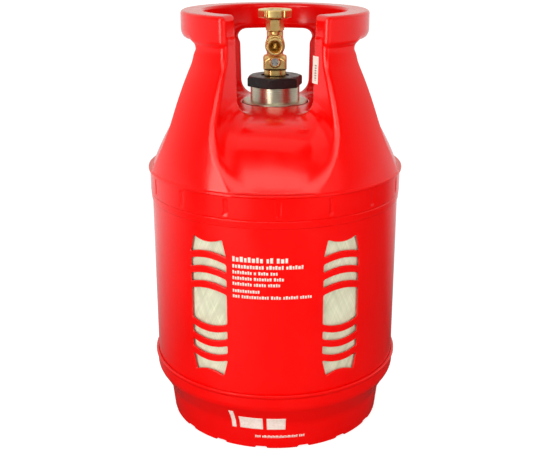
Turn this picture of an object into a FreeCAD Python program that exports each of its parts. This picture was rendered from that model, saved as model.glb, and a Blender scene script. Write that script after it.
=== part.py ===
import FreeCAD, Part
import math
import os

# Composite gas cylinder with a moulded plastic casing, a carrying ring and a handwheel valve.
# Millimetres. +Z is up, -Y is the front (the valve outlet side), and the origin is the middle
# of the base on the floor. "Lean" is a wall's angle from vertical, positive towards the axis.

# ---- driving dimensions -------------------------------------------------------------------
HEIGHT = 500.0
SLEEVE_R = 148.8            # outside of the middle casing
SLEEVE_WALL = 2.5
CASING_WALL = 3.2
RUN_GAP = 0.05              # radial clearance of turned fits
SEAT_GAP = 0.1              # clearance between parts that rest on each other
CASING_GAP = 0.25           # clearance of moulded sockets

# base cup
FOOT_NOTCHES = 16
FOOT_NOTCH_WIDTH = 13.0
FOOT_NOTCH_HEIGHT = 3.0
NOTCH_PHASE = -7.4          # degrees from the front
CREASE_Z = 34.5
CREASE_R = 134.2
SOCKET_Z = 66.0             # ledge that carries the middle casing
CUP_TOP = 81.8
CUP_BAND_R = 150.2
CUP_LIP_R = 152.2
FOOT_WALL = 4.0
FOOT_FLAT = 2.4             # flat of the foot ring on the floor
DISH_GAP = 1.0              # clearance under the vessel
DISH_WALL = 3.0
DISH_HOLE_R = 36.0
DISH_RIM_R = 126.0

# middle casing and its four groups of windows
SLEEVE_BOTTOM = SOCKET_Z + 0.3
SLEEVE_TOP = 301.5
WINDOW_AZIMUTH = 30.5       # degrees either side of the front, and of the back
WINDOW_HALF_WIDTH = 23.8
WINDOW_MIDDLE_Z = 182.2
WINDOW_BOW = 4.5            # rise of each curved bar
WINDOW_TALL_HALF = 22.2
WINDOW_SLOT = 9.6
WINDOW_PITCH = 18.1
WINDOW_EAR = 20.0           # height of the end windows
WINDOW_EAR_NARROWS = 5.0
WINDOW_SIDE_BOW = 1.2
WINDOW_CORNER_R = 1.8

# upper casing
SEAM_Z = 281.0
FLANGE_TOP = 319.0
FLANGE_R = 152.5
BAND_R = 150.6
DOME_START_R = 147.3
DOME_LEANS = (20.6, 29.9, 78.0, 90.0)
DOME_RADII = (280.0, 55.0, 326.0)
LEG_START_R = 151.6
LEG_LEANS = (10.0, 26.0, 0.0)
LEG_RADII = (466.0, -50.5)
LEG_TOP = 476.0             # the legs run up into the ring
RING_R = 109.0
RING_WIDTH = 26.0
RING_DEPTH = 33.0
RING_TOP_ROUND = 3.5
RING_LOW_ROUND = 5.0
OPENING_FLARE = 0.55        # how fast the leg faces spread apart, going outwards
OPENING_REF_Y = 70.0        # where the half widths of an opening are stated
OPENING_TAPER = 0.024
OPENING_HALF_LOW = 39.2     # half width where the curved shoulder of the opening starts
OPENING_CURVE_Z = 390.0
OPENING_CURVE_R = 90.0
OPENING_FOOT_LEAN = 29.0    # of the straight foot below the curved shoulder
OPENING_CORNER_R = 10.0
CROWN_HOLE_R = 39.6
SNAP_MARKS = 16
SNAP_PHASE = 1.6            # degrees from the front

# pressure vessel
VESSEL_R = 144.5
VESSEL_LOW_Z = 82.0
VESSEL_HIGH_Z = 306.0
VESSEL_BOTTOM_RISE = 70.0
VESSEL_TOP_RISE = 86.0
POLAR_R = 42.0              # flat round the neck
BOTTOM_FLAT_R = 8.0
COMPOSITE_WALL = 4.5
LINER_WALL = 2.0

# neck
NECK_STEM_R = 24.0
NECK_BORE_R = 17.0
NECK_TOP = 411.8
BOSS_FLANGE = 8.0           # thickness of the boss's flange
BOSS_GROOVE = (34.0, 38.0, 2.3)     # inner radius, outer radius and depth
NECK_GROOVE = (19.2, 21.8, 1.7)
COLLAR_R = 38.5
COLLAR_NECK_R = 29.0
COLLAR_STEP_Z = 394.8
NECK_NUT_FLATS = 59.0
NECK_NUT_Z = (412.0, 424.0)
NECK_NUT_TURN = 18.0        # degrees, puts a corner just left of the front

# valve
VALVE_STEM_R = 12.0
VALVE_STEM_LOW = 397.0
INLET_R = 4.0
BLOCK_Z = (431.6, 447.6)
BLOCK_WIDTH = 27.6
BLOCK_FRONT = 14.0
BODY_R = 9.6
OUTLET_Z = 459.5
OUTLET_R = 10.0
OUTLET_LENGTH = 27.0
OUTLET_PIN_START = 13.5     # where the plain outlet leaves its cheek
OUTLET_BORE_R = 3.2
OUTLET_CONE_R = 7.4
OUTLET_CONE_DEPTH = 9.0
SEAT_Z = 452.0
CHAMBER_R = 6.95
BONNET_Z = 475.0            # shoulder the gland nut meets
BONNET_NECK_R = 8.1
BONNET_NECK_TOP = 483.0
GLAND_FLATS = 18.4
GLAND_TOP = 489.0
SPINDLE_R = 3.6
SPINDLE_COLLAR_R = 6.6
GLAND_SOCKET_TOP = 483.9
SPINDLE_COLLAR_Z = (480.0, 482.65)
SPINDLE_SEAL_Z = 486.2
THREAD_PITCH = 1.5          # lift of the plug for one turn of the handwheel
OPENING_TURNS = 2.25
PLUG_TOP = 471.0
PLUG_LOW = 454.0
PLUG_NOSE_R = 5.5
PLUG_SLOT_FLOOR = 463.0
SEAT_DISC_R = 4.7
TONGUE_THICKNESS = 2.6
TONGUE_LOW = PLUG_SLOT_FLOOR + OPENING_TURNS * THREAD_PITCH + 0.6
SQUARE_SIZE = 5.0           # the wheel's square on the spindle
SQUARE_Z = (489.7, 496.1)
HANDWHEEL_THREAD_R = 2.0
WHEEL_R = 20.0
WHEEL_LOW = 489.8
WHEEL_SINK_Z = 496.4
WHEEL_LOBES = 6

# relief valve, in front of the block
RELIEF_Z = 441.0
RELIEF_BOSS_R = 6.0
RELIEF_BOSS_LENGTH = 17.0
RELIEF_BORE_R = 4.6
RELIEF_SEAT_Y = 5.0         # distance of the seat from the valve's axis
RELIEF_HEAD_Y = 7.6
RELIEF_HEAD_R = 4.1
RELIEF_SEAL_R = 3.4
RELIEF_STEM_R = 1.4
RELIEF_TRAVEL = 1.2
RETAINER_Y = (12.6, 15.8)


# ---- helpers ------------------------------------------------------------------------------
def vec(x, y, z):
    return FreeCAD.Vector(x, y, z)


UP = vec(0, 0, 1)
FRONT = vec(0, -1, 0)
AXIS_FOOT = vec(0, 0, 0)


def line(start, end):
    """Straight edge between two (radius, z) points of a section."""
    return Part.makeLine(vec(start[0], 0, start[1]), vec(end[0], 0, end[1]))


def lines(*points):
    return [line(a, b) for a, b in zip(points, points[1:])]


def arc3(start, middle, end):
    """Round edge through three (radius, z) points of a section."""
    return Part.Arc(*[vec(p[0], 0, p[1]) for p in (start, middle, end)]).toShape()


def wall_arc(start, lean_from, lean_to, radius):
    """Edge of a wall whose lean changes steadily; a negative radius is a hollow curve.

    Returns the edge and its end point.
    """
    def normal(lean):
        return math.cos(math.radians(lean)), math.sin(math.radians(lean))

    centre = [s - radius * n for s, n in zip(start, normal(lean_from))]
    middle, end = (
        tuple(c + radius * n for c, n in zip(centre, normal(lean)))
        for lean in ((lean_from + lean_to) / 2, lean_to)
    )
    return arc3(start, middle, end), end


def wall_chain(start, leans, radii, inset):
    """A run of wall arcs, moved inwards by inset. Returns edges, first and last point."""
    first_lean = math.radians(leans[0])
    first = (start[0] - inset * math.cos(first_lean), start[1] - inset * math.sin(first_lean))
    edges = []
    at = first
    for lean_from, lean_to, radius in zip(leans, leans[1:], radii):
        edge, at = wall_arc(at, lean_from, lean_to, radius - inset)
        edges.append(edge)
    return edges, first, at


def ellipse_arc(rise, radius, centre_z, r_from, r_to, upper):
    """Part of a quarter-ellipse dome between two radii. Returns the edge and its two ends."""
    side = 1 if upper else -1
    curve = Part.Ellipse(vec(radius, 0, centre_z), vec(0, 0, centre_z + side * rise),
                         vec(0, 0, centre_z))
    first, last = ((r, centre_z + side * rise * math.sqrt(1 - (r / radius) ** 2))
                   for r in (r_from, r_to))
    low, high = sorted(curve.parameter(vec(r, 0, z)) for r, z in (first, last))
    return curve.toShape(low, high), first, last


def turned(edges):
    """Solid of revolution about Z from the edges of a closed section."""
    wire = Part.Wire(Part.__sortEdges__(edges))
    return Part.Face(wire).revolve(AXIS_FOOT, UP, 360)


def turned_outline(*points):
    return turned(lines(*points, points[0]))


def tube(inner, outer, low, high):
    """Ring or disc about the Z axis."""
    solid = Part.makeCylinder(outer, high - low, vec(0, 0, low))
    if inner > 0:
        solid = solid.cut(Part.makeCylinder(inner, high - low, vec(0, 0, low)))
    return solid


def front_rod(radius, near, far, z, x=0.0):
    """Cylinder pointing forwards, from distance near to distance far."""
    return Part.makeCylinder(radius, far - near, vec(x, -near, z), FRONT)


def hexagon(across_flats, low, high, turn=0.0):
    """Hexagonal prism; with no turn it has flats to the front and back."""
    corner = across_flats / math.sqrt(3)
    points = []
    for k in range(7):
        angle = math.radians(60 * k + turn)
        points.append(vec(corner * math.cos(angle), corner * math.sin(angle), low))
    return Part.Face(Part.makePolygon(points)).extrude(vec(0, 0, high - low))


def chamfered_hexagon(across_flats, low, high, turn=0.0, both_ends=False):
    """Hexagonal nut blank with the usual 30 degree cone taken off its corners."""
    corner = across_flats / math.sqrt(3)
    flat = across_flats / 2
    drop = (corner - flat) * math.tan(math.radians(30)) * 2
    bottom = ((0, low), (flat - 0.5, low), (corner, low + drop)) if both_ends else (
        (0, low), (corner + 1, low))
    blank = turned_outline(*bottom, (corner, high - drop), (flat - 0.5, high), (0, high))
    return hexagon(across_flats, low, high, turn).common(blank)


def spun(shape, degrees):
    copy = shape.copy()
    copy.rotate(AXIS_FOOT, UP, degrees)
    return copy


def level_edges(shape, z):
    """Closed round edges that lie at one height."""
    return [e for e in shape.Edges
            if e.Closed and abs(e.BoundBox.ZMin - z) < 0.01 and abs(e.BoundBox.ZMax - z) < 0.01]


def o_ring(major, minor, z):
    return Part.makeTorus(major, minor, vec(0, 0, z))


# ---- casing -------------------------------------------------------------------------------
def base_cup():
    """Foot ring, flared wall, socket for the middle casing and a dish under the vessel."""
    foot_inner = CREASE_R - FOOT_WALL
    foot_inset = 3.4            # the foot ring narrows this much towards the floor
    foot_r = CREASE_R - foot_inset
    foot_round = 2.7
    flare_middle = (CREASE_R + 6.7, CREASE_Z + 13.5)
    shoulder = (CUP_BAND_R - 1.0, 61.5)
    band_low = shoulder[1] + 2.0
    lip_low = CUP_TOP - 5.8
    lip_full = CUP_TOP - 2.6
    lip_chamfer = 0.8
    socket_r = SLEEVE_R + CASING_GAP
    well_r = SLEEVE_R - SLEEVE_WALL - CASING_GAP
    well_z = SOCKET_Z - 3.5
    slope_r = DISH_RIM_R + 9.5
    dish_top, dish_top_in, dish_top_out = ellipse_arc(
        VESSEL_BOTTOM_RISE + DISH_GAP, VESSEL_R + DISH_GAP, VESSEL_LOW_Z,
        DISH_HOLE_R, DISH_RIM_R, False)
    depth = DISH_GAP + DISH_WALL
    dish_under, dish_under_in, dish_under_out = ellipse_arc(
        VESSEL_BOTTOM_RISE + depth, VESSEL_R + depth, VESSEL_LOW_Z,
        DISH_HOLE_R, DISH_RIM_R, False)
    edges = [
        arc3((foot_r - foot_round, 0), (foot_r - 0.8, 0.9), (foot_r, foot_round)),
        line((foot_r, foot_round), (CREASE_R, CREASE_Z)),
        arc3((CREASE_R, CREASE_Z), flare_middle, shoulder),
        arc3(shoulder, (CUP_BAND_R - 0.3, shoulder[1] + 0.8), (CUP_BAND_R, band_low)),
        dish_top,
        line(dish_top_in, dish_under_in),
        dish_under,
    ]
    edges += lines(
        (CUP_BAND_R, band_low), (CUP_BAND_R, lip_low), (CUP_LIP_R, lip_full),
        (CUP_LIP_R, CUP_TOP - lip_chamfer), (CUP_LIP_R - lip_chamfer, CUP_TOP),
        (socket_r, CUP_TOP), (socket_r, SOCKET_Z), (well_r, SOCKET_Z), (well_r, well_z),
        (slope_r, dish_top_out[1]), dish_top_out)
    edges += lines(
        dish_under_out, (foot_inner + 1.0, dish_under_out[1]), (foot_inner, CREASE_Z),
        (foot_r - foot_round - FOOT_FLAT - 0.8, 0.8), (foot_r - foot_round - FOOT_FLAT, 0),
        (foot_r - foot_round, 0))
    cup = turned(edges).fuse(dish_ribs(dish_under, dish_under_in, dish_under_out))
    return cup.cut(foot_notches()).removeSplitter()


def dish_ribs(dish_under, inner, outer):
    """Radial webs between the foot ring and the underside of the dish."""
    rib_wall = 2.6
    rib_low = 7.0
    root = 2.0                  # how far a web is sunk into the foot ring
    low_r = CREASE_R - FOOT_WALL - 4.4 + root
    high_r = CREASE_R - FOOT_WALL + root - 2.0
    space = turned([dish_under] + lines(
        inner, (inner[0], rib_low), (low_r, rib_low), (high_r, outer[1]), outer))
    pitch = 360 / FOOT_NOTCHES
    plate = Part.makeBox(CREASE_R, rib_wall, VESSEL_LOW_Z, vec(0, -rib_wall / 2, 0))
    plates = [spun(plate, -90 + NOTCH_PHASE + pitch * (k + 0.5)) for k in range(FOOT_NOTCHES)]
    return [space.common(one) for one in plates]


def foot_notches():
    """Drain notches across the foot ring."""
    inner = CREASE_R - 14.0
    cutter = Part.makeBox(CREASE_R - inner, FOOT_NOTCH_WIDTH, 2 * FOOT_NOTCH_HEIGHT,
                          vec(inner, -FOOT_NOTCH_WIDTH / 2, -FOOT_NOTCH_HEIGHT))
    pitch = 360 / FOOT_NOTCHES
    return [spun(cutter, -90 + NOTCH_PHASE + pitch * k) for k in range(FOOT_NOTCHES)]


def window_face(points_and_bows):
    """Face in the plane x = 0 from corners (y, z), each with the bow of the edge after it."""
    edges = []
    count = len(points_and_bows)
    for k, (y, z, bow) in enumerate(points_and_bows):
        next_y, next_z, _ = points_and_bows[(k + 1) % count]
        start = vec(0, y, z)
        end = vec(0, next_y, next_z)
        if bow == 0:
            edges.append(Part.makeLine(start, end))
            continue
        chord = end - start
        side = vec(0, -chord.z, chord.y).normalize()
        edges.append(Part.Arc(start, (start + end) * 0.5 + side * bow, end).toShape())
    return Part.Face(Part.Wire(edges))


def window_faces():
    """The seven openings of one group: a tall middle, two slots and an end window each way."""
    half = WINDOW_HALF_WIDTH
    bow = WINDOW_BOW
    middle = WINDOW_MIDDLE_Z
    tall = WINDOW_TALL_HALF - bow
    faces = [window_face([
        (-half, middle - tall, -bow), (half, middle - tall, 0),
        (half, middle + tall, -bow), (-half, middle + tall, 0)])]
    first_bar = WINDOW_PITCH - WINDOW_SLOT
    for side in (1, -1):
        for row in range(2):
            low = side * (tall + first_bar + row * WINDOW_PITCH)
            high = low + side * WINDOW_SLOT
            faces.append(window_face([
                (-half, middle + low, side * bow), (half, middle + low, 0),
                (half, middle + high, -side * bow), (-half, middle + high, 0)]))
        foot = side * (tall + first_bar + 2 * WINDOW_PITCH)
        ear = foot + side * WINDOW_EAR
        ear_half = half - WINDOW_EAR_NARROWS
        hollow = -side * WINDOW_SIDE_BOW
        faces.append(window_face([
            (-half, middle + foot, side * bow), (half, middle + foot, hollow),
            (ear_half, middle + ear, side * bow), (-ear_half, middle + ear, hollow)]))
    return faces


def rounded_window(face, depth):
    """Prism of a window with its four radial edges rounded."""
    prism = face.extrude(vec(depth, 0, 0))
    radial = [e for e in prism.Edges if abs(e.tangentAt(e.FirstParameter).x) > 0.99]
    return prism.makeFillet(WINDOW_CORNER_R, radial)


def middle_casing():
    """Plain sleeve between the cup and the upper casing, with its window groups."""
    sleeve = tube(SLEEVE_R - SLEEVE_WALL, SLEEVE_R, SLEEVE_BOTTOM, SLEEVE_TOP)
    behind = 30.0               # how far behind the sleeve's outside the cutters start
    prisms = [rounded_window(face, 2 * behind) for face in window_faces()]
    cutters = []
    for face_side in (-90, 90):
        for side in (-1, 1):
            for prism in prisms:
                cutter = prism.copy()
                cutter.translate(vec(SLEEVE_R - behind, 0, 0))
                cutters.append(spun(cutter, face_side + side * WINDOW_AZIMUTH))
    return sleeve.cut(cutters)


def dome_solid(inset):
    """Everything under the shoulder dome, down to the flange."""
    edges, first, last = wall_chain((DOME_START_R, FLANGE_TOP), DOME_LEANS, DOME_RADII, inset)
    foot_z = FLANGE_TOP - 5.0   # sunk into the skirt
    edges += lines(last, (0, last[1]), (0, foot_z), (first[0], foot_z), first)
    return turned(edges)


def leg_ring_solid(inset):
    """The four legs before the openings are cut: a round wall from flange to ring."""
    edges, first, last = wall_chain((LEG_START_R, FLANGE_TOP), LEG_LEANS, LEG_RADII, inset)
    inner = RING_R - RING_WIDTH + inset
    foot_z = FLANGE_TOP - 1.0
    edges += lines(last, (last[0], LEG_TOP), (inner, LEG_TOP), (inner, foot_z),
                   (first[0], foot_z), first)
    return turned(edges)


def handle_ring_solid(inset):
    """Carrying ring, rounded at its top and bottom edges."""
    inner = RING_R - RING_WIDTH + inset
    outer = RING_R - inset
    low = HEIGHT - RING_DEPTH + inset
    high = HEIGHT - inset
    ring = tube(inner, outer, low, high)
    top_round = RING_TOP_ROUND - 0.5 * inset
    low_round = RING_LOW_ROUND - inset
    ring = ring.makeFillet(top_round, level_edges(ring, high))
    return ring.makeFillet(low_round, level_edges(ring, low))


def opening_half_width(z):
    """Half width of an opening at the reference distance from the axis."""
    return OPENING_HALF_LOW + OPENING_TAPER * (z - OPENING_CURVE_Z)


def opening_cutter(top_z, grow, open_top):
    """Tapered block that cuts one front opening; grow moves its faces into the legs."""
    lean = math.degrees(math.atan(OPENING_TAPER))
    lean_low = OPENING_FOOT_LEAN
    side_grow = grow * math.hypot(1, OPENING_FLARE)
    start_half = OPENING_HALF_LOW + side_grow
    radius = OPENING_CURVE_R + grow
    centre_t = start_half - radius * math.cos(math.radians(lean))
    centre_z = OPENING_CURVE_Z + radius * math.sin(math.radians(lean))

    def on_curve(angle):
        return (centre_t + radius * math.cos(math.radians(angle)),
                centre_z - radius * math.sin(math.radians(angle)))

    curve_start = on_curve(lean)
    curve_middle = on_curve((lean + lean_low) / 2)
    curve_end = on_curve(lean_low)
    foot_z = FLANGE_TOP - 0.5
    foot_half = curve_end[0] - (curve_end[1] - foot_z) * math.tan(math.radians(lean_low))
    top_half = opening_half_width(top_z) + side_grow
    corner = 0.0 if open_top else OPENING_CORNER_R

    def wire(distance):
        spread = OPENING_FLARE * (distance - OPENING_REF_Y)

        def point(half, z, side):
            return vec(side * (half + spread), -distance, z)

        right = [
            Part.makeLine(point(foot_half, foot_z, 1), point(*curve_end, 1)),
            Part.Arc(point(*curve_end, 1), point(*curve_middle, 1),
                     point(*curve_start, 1)).toShape(),
            Part.makeLine(point(*curve_start, 1), point(top_half, top_z - corner, 1)),
        ]
        left = [
            Part.makeLine(point(top_half, top_z - corner, -1), point(*curve_start, -1)),
            Part.Arc(point(*curve_start, -1), point(*curve_middle, -1),
                     point(*curve_end, -1)).toShape(),
            Part.makeLine(point(*curve_end, -1), point(foot_half, foot_z, -1)),
        ]
        top = [Part.makeLine(point(top_half - corner, top_z, 1),
                             point(top_half - corner, top_z, -1))]
        if corner > 0:
            bend = corner * (1 - math.sqrt(0.5))
            right.append(Part.Arc(
                point(top_half, top_z - corner, 1), point(top_half - bend, top_z - bend, 1),
                point(top_half - corner, top_z, 1)).toShape())
            left.insert(0, Part.Arc(
                point(top_half - corner, top_z, -1), point(top_half - bend, top_z - bend, -1),
                point(top_half, top_z - corner, -1)).toShape())
        foot = [Part.makeLine(point(foot_half, foot_z, -1), point(foot_half, foot_z, 1))]
        return Part.Wire(right + top + left + foot)

    near, far = 52.0, 175.0     # from inside the ring to outside the legs
    return Part.makeLoft([wire(near), wire(far)], True, True)


def legs_and_ring(inset):
    """Legs and carrying ring with the front gap and the three closed openings."""
    window_top = HEIGHT - RING_DEPTH + inset
    closed = opening_cutter(window_top, inset, False)
    above = 12.0
    front_gap = opening_cutter(HEIGHT + above, inset, True)
    legs = leg_ring_solid(inset).cut([spun(closed, turn) for turn in (90, 180, 270)])
    return legs.fuse(handle_ring_solid(inset)).cut(front_gap)


def skirt_solid():
    """Seam skirt and flange, as a disc that the dome and legs stand on."""
    seam_chamfer = (1.0, 9.0)
    flange_low = FLANGE_TOP - 3.8
    flange_full = FLANGE_TOP - 2.6
    edge = 0.6
    return turned_outline(
        (0, SEAM_Z), (BAND_R - seam_chamfer[0], SEAM_Z), (BAND_R, SEAM_Z + seam_chamfer[1]),
        (BAND_R, flange_low), (FLANGE_R, flange_full), (FLANGE_R, FLANGE_TOP - edge),
        (FLANGE_R - edge, FLANGE_TOP), (0, FLANGE_TOP))


def snap_marks():
    """Shallow pockets where the snap hooks of the skirt are moulded."""
    width, height, depth = 5.0, 20.0, 0.6
    low_z = SEAM_Z + 13.0
    pocket = Part.makeBox(8.0, width, height, vec(BAND_R - depth, -width / 2, low_z))
    pitch = 360 / SNAP_MARKS
    return [spun(pocket, -90 + SNAP_PHASE + pitch * k) for k in range(SNAP_MARKS)]


def upper_casing():
    """Shoulder dome, legs and carrying ring in one moulding of even wall."""
    socket_r = SLEEVE_R + CASING_GAP
    socket_top = SLEEVE_TOP + CASING_GAP
    neck_r = SLEEVE_R - SLEEVE_WALL - CASING_GAP
    neck_top = FLANGE_TOP - 10.0
    below = SEAM_Z - 1.0
    above = FLANGE_TOP + 0.5
    outside = skirt_solid().fuse([dome_solid(0), legs_and_ring(0)])
    cavity = turned_outline(
        (0, below), (socket_r, below), (socket_r, socket_top), (neck_r, socket_top),
        (neck_r, neck_top), (DOME_START_R - CASING_WALL, above), (0, above))
    inside = cavity.fuse([dome_solid(CASING_WALL), legs_and_ring(CASING_WALL)])
    crown_hole = tube(0, CROWN_HOLE_R, FLANGE_TOP, HEIGHT)
    return outside.cut(inside).cut(crown_hole).cut(snap_marks()).removeSplitter()


def date_label():
    """Sticker on the right-hand face of the front gap."""
    near, far = 2.2, 12.2
    low, high = 426.2, 456.1
    thickness = 0.25

    def on_face(beyond, z):
        return vec(opening_half_width(z) + OPENING_FLARE * beyond, -(OPENING_REF_Y + beyond), z)

    corners = [on_face(near, low), on_face(far, low), on_face(far, high), on_face(near, high)]
    out = vec(-1, -OPENING_FLARE, OPENING_TAPER).normalize()
    wire = Part.makePolygon([c + out * RUN_GAP for c in corners + corners[:1]])
    return Part.Face(wire).extrude(out * thickness)


# ---- pressure vessel ----------------------------------------------------------------------
def vessel_skin(inset, wall):
    """Hollow shell with domed ends and a flat round hole at the top."""
    def filled(depth):
        radius = VESSEL_R - depth
        top, _, top_in = ellipse_arc(
            VESSEL_TOP_RISE - depth, radius, VESSEL_HIGH_Z, radius, POLAR_R, True)
        bottom, _, bottom_in = ellipse_arc(
            VESSEL_BOTTOM_RISE - depth, radius, VESSEL_LOW_Z, radius, BOTTOM_FLAT_R, False)
        side = line((radius, VESSEL_LOW_Z), (radius, VESSEL_HIGH_Z))
        ends = lines(top_in, (0, top_in[1]), (0, bottom_in[1]), bottom_in)
        return turned([bottom, side, top] + ends), top_in[1]

    outside, outside_top = filled(inset)
    inside, inside_top = filled(inset + wall)
    hole = tube(0, NECK_STEM_R + SEAT_GAP, inside_top - 1.0, outside_top + 1.0)
    return outside.cut([inside, hole])


def polar_height(depth):
    """Height of the flat round the neck on a skin that lies this deep."""
    radius = VESSEL_R - depth
    return VESSEL_HIGH_Z + (VESSEL_TOP_RISE - depth) * math.sqrt(1 - (POLAR_R / radius) ** 2)


def composite_shell():
    """Glass fibre wound over the liner."""
    return vessel_skin(0.0, COMPOSITE_WALL)


def liner():
    """Gas-tight blow-moulded liner."""
    return vessel_skin(COMPOSITE_WALL + RUN_GAP, LINER_WALL)


def boss_face():
    """Height of the face of the boss's flange, just under the liner."""
    return polar_height(COMPOSITE_WALL + RUN_GAP + LINER_WALL) - SEAT_GAP


def groove(inner, outer, depth, face_z):
    return tube(inner, outer, face_z - depth, face_z + 0.1)


def groove_ring(inner, outer, depth, face_z):
    """O-ring that fills a groove in an upward face."""
    minor = (depth - SEAT_GAP) / 2
    return o_ring((inner + outer) / 2, minor, face_z - depth / 2)


def boss_insert():
    """Metal neck inside the liner: a flange under it and a stem up through it."""
    face = boss_face()
    flange = tube(NECK_BORE_R, POLAR_R - SEAT_GAP, face - BOSS_FLANGE, face)
    stem = tube(NECK_BORE_R, NECK_STEM_R, face - BOSS_FLANGE, NECK_TOP)
    return flange.fuse(stem).cut([groove(*BOSS_GROOVE, face), groove(*NECK_GROOVE, NECK_TOP)])


def boss_collar():
    """Outer clamp ring, screwed down on the stem."""
    seat = polar_height(0.0) + SEAT_GAP
    bore = NECK_STEM_R + RUN_GAP
    chamfer = 0.9
    return turned_outline(
        (bore, seat), (COLLAR_R - chamfer, seat), (COLLAR_R, seat + chamfer),
        (COLLAR_R, COLLAR_STEP_Z - 1.0), (COLLAR_R - 1.0, COLLAR_STEP_Z),
        (COLLAR_NECK_R, COLLAR_STEP_Z), (COLLAR_NECK_R, NECK_TOP - chamfer),
        (COLLAR_NECK_R - chamfer, NECK_TOP), (bore, NECK_TOP))


def boss_oring():
    """Seal between the boss's flange and the liner."""
    return groove_ring(*BOSS_GROOVE, boss_face())


def neck_seal():
    """Seal between the neck and the black nut."""
    return groove_ring(*NECK_GROOVE, NECK_TOP)


def neck_nut():
    """Black hexagon that holds the valve in the neck."""
    low, high = NECK_NUT_Z
    spigot_low = low - 16.0
    recess_depth = 1.5
    head = chamfered_hexagon(NECK_NUT_FLATS, low, high, NECK_NUT_TURN)
    spigot = tube(0, NECK_BORE_R - RUN_GAP, spigot_low, low)
    bore = tube(0, VALVE_STEM_R + RUN_GAP, spigot_low - 1.0, high + 1.0)
    recess = tube(0, NECK_BORE_R - 1.0, high - recess_depth, high + 1.0)
    return head.fuse(spigot).cut([bore, recess])


# ---- valve --------------------------------------------------------------------------------
def valve_body():
    """Brass body: stem, block with the relief boss, upper barrel and outlet."""
    low, high = BLOCK_Z
    half = BLOCK_WIDTH / 2
    shoulder = NECK_NUT_Z[1]
    foot_r = half - 0.1
    corner_r = half + 3.2
    taper = half - BODY_R - 0.4
    stem = tube(0, VALVE_STEM_R, VALVE_STEM_LOW, shoulder)
    lower = turned_outline((0, shoulder), (foot_r - 0.7, shoulder), (foot_r, shoulder + 1.0),
                           (foot_r, low), (0, low))
    block = Part.makeBox(BLOCK_WIDTH, BLOCK_FRONT + half, high - low,
                         vec(-half, -BLOCK_FRONT, low))
    corner_round = turned_outline(
        (0, low - 1), (corner_r, low - 1), (corner_r, high - taper),
        (corner_r - taper, high + 0.5), (0, high + 0.5))
    block = block.common(corner_round)
    barrel = tube(0, BODY_R, high, BONNET_Z)
    cheek = front_rod(OUTLET_R + 1.6, 0, OUTLET_PIN_START, OUTLET_Z)
    outlet = front_rod(OUTLET_R, 0, OUTLET_LENGTH, OUTLET_Z)
    neck = tube(0, BONNET_NECK_R, BONNET_Z, BONNET_NECK_TOP)
    relief_boss = front_rod(RELIEF_BOSS_R, 0, RELIEF_BOSS_LENGTH, RELIEF_Z)
    body = stem.fuse([lower, block, barrel, cheek, outlet, neck, relief_boss])
    return body.cut(valve_passages()).removeSplitter()


def valve_passages():
    """Inlet, plug chamber with its raised seat, outlet bore and cone, and relief bore."""
    seat_wall = 1.4
    port_r = 2.4
    inlet = tube(0, INLET_R, VALVE_STEM_LOW - 1.0, SEAT_Z + 1.0)
    seat_ring = tube(INLET_R, INLET_R + seat_wall, SEAT_Z - 1.0, SEAT_Z)
    chamber = tube(0, CHAMBER_R, SEAT_Z - 1.0, BONNET_NECK_TOP + 1.0).cut(seat_ring)
    outlet_bore = front_rod(OUTLET_BORE_R, 0, OUTLET_LENGTH + 1.0, OUTLET_Z)
    cone = Part.makeCone(OUTLET_BORE_R, OUTLET_CONE_R, OUTLET_CONE_DEPTH,
                         vec(0, OUTLET_CONE_DEPTH - OUTLET_LENGTH, OUTLET_Z), FRONT)
    relief_bore = front_rod(RELIEF_BORE_R, RELIEF_SEAT_Y, RELIEF_BOSS_LENGTH + 1.0, RELIEF_Z)
    relief_port = front_rod(port_r, 0, RELIEF_SEAT_Y + 1.0, RELIEF_Z)
    return [inlet, chamber, outlet_bore, cone, relief_bore, relief_port]


def gland_nut():
    """Cap nut that closes the bonnet and carries the spindle."""
    nut = chamfered_hexagon(GLAND_FLATS, BONNET_Z + SEAT_GAP, GLAND_TOP, both_ends=True)
    socket = tube(0, BONNET_NECK_R + RUN_GAP, BONNET_Z - 1, GLAND_SOCKET_TOP)
    bore = tube(0, SPINDLE_R + RUN_GAP, BONNET_Z, GLAND_TOP + 1.0)
    seal_groove = tube(0, SPINDLE_R + 1.6, SPINDLE_SEAL_Z - 1.0, SPINDLE_SEAL_Z + 1.0)
    return nut.cut([socket, bore, seal_groove])


def gland_washer():
    """Sealing washer between the bonnet neck and the gland nut."""
    return tube(CHAMBER_R, BONNET_NECK_R - RUN_GAP, BONNET_NECK_TOP + RUN_GAP,
                GLAND_SOCKET_TOP - SEAT_GAP)


def spindle_oring():
    """Seal round the spindle, in the gland nut's groove."""
    minor = 0.75
    return o_ring(SPINDLE_R + RUN_GAP + minor, minor, SPINDLE_SEAL_Z)


def thrust_washer():
    """Low-friction ring between the spindle's collar and the gland nut."""
    return tube(SPINDLE_R + RUN_GAP, SPINDLE_COLLAR_R, SPINDLE_COLLAR_Z[1] + SEAT_GAP,
                GLAND_SOCKET_TOP - 0.15)


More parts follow.
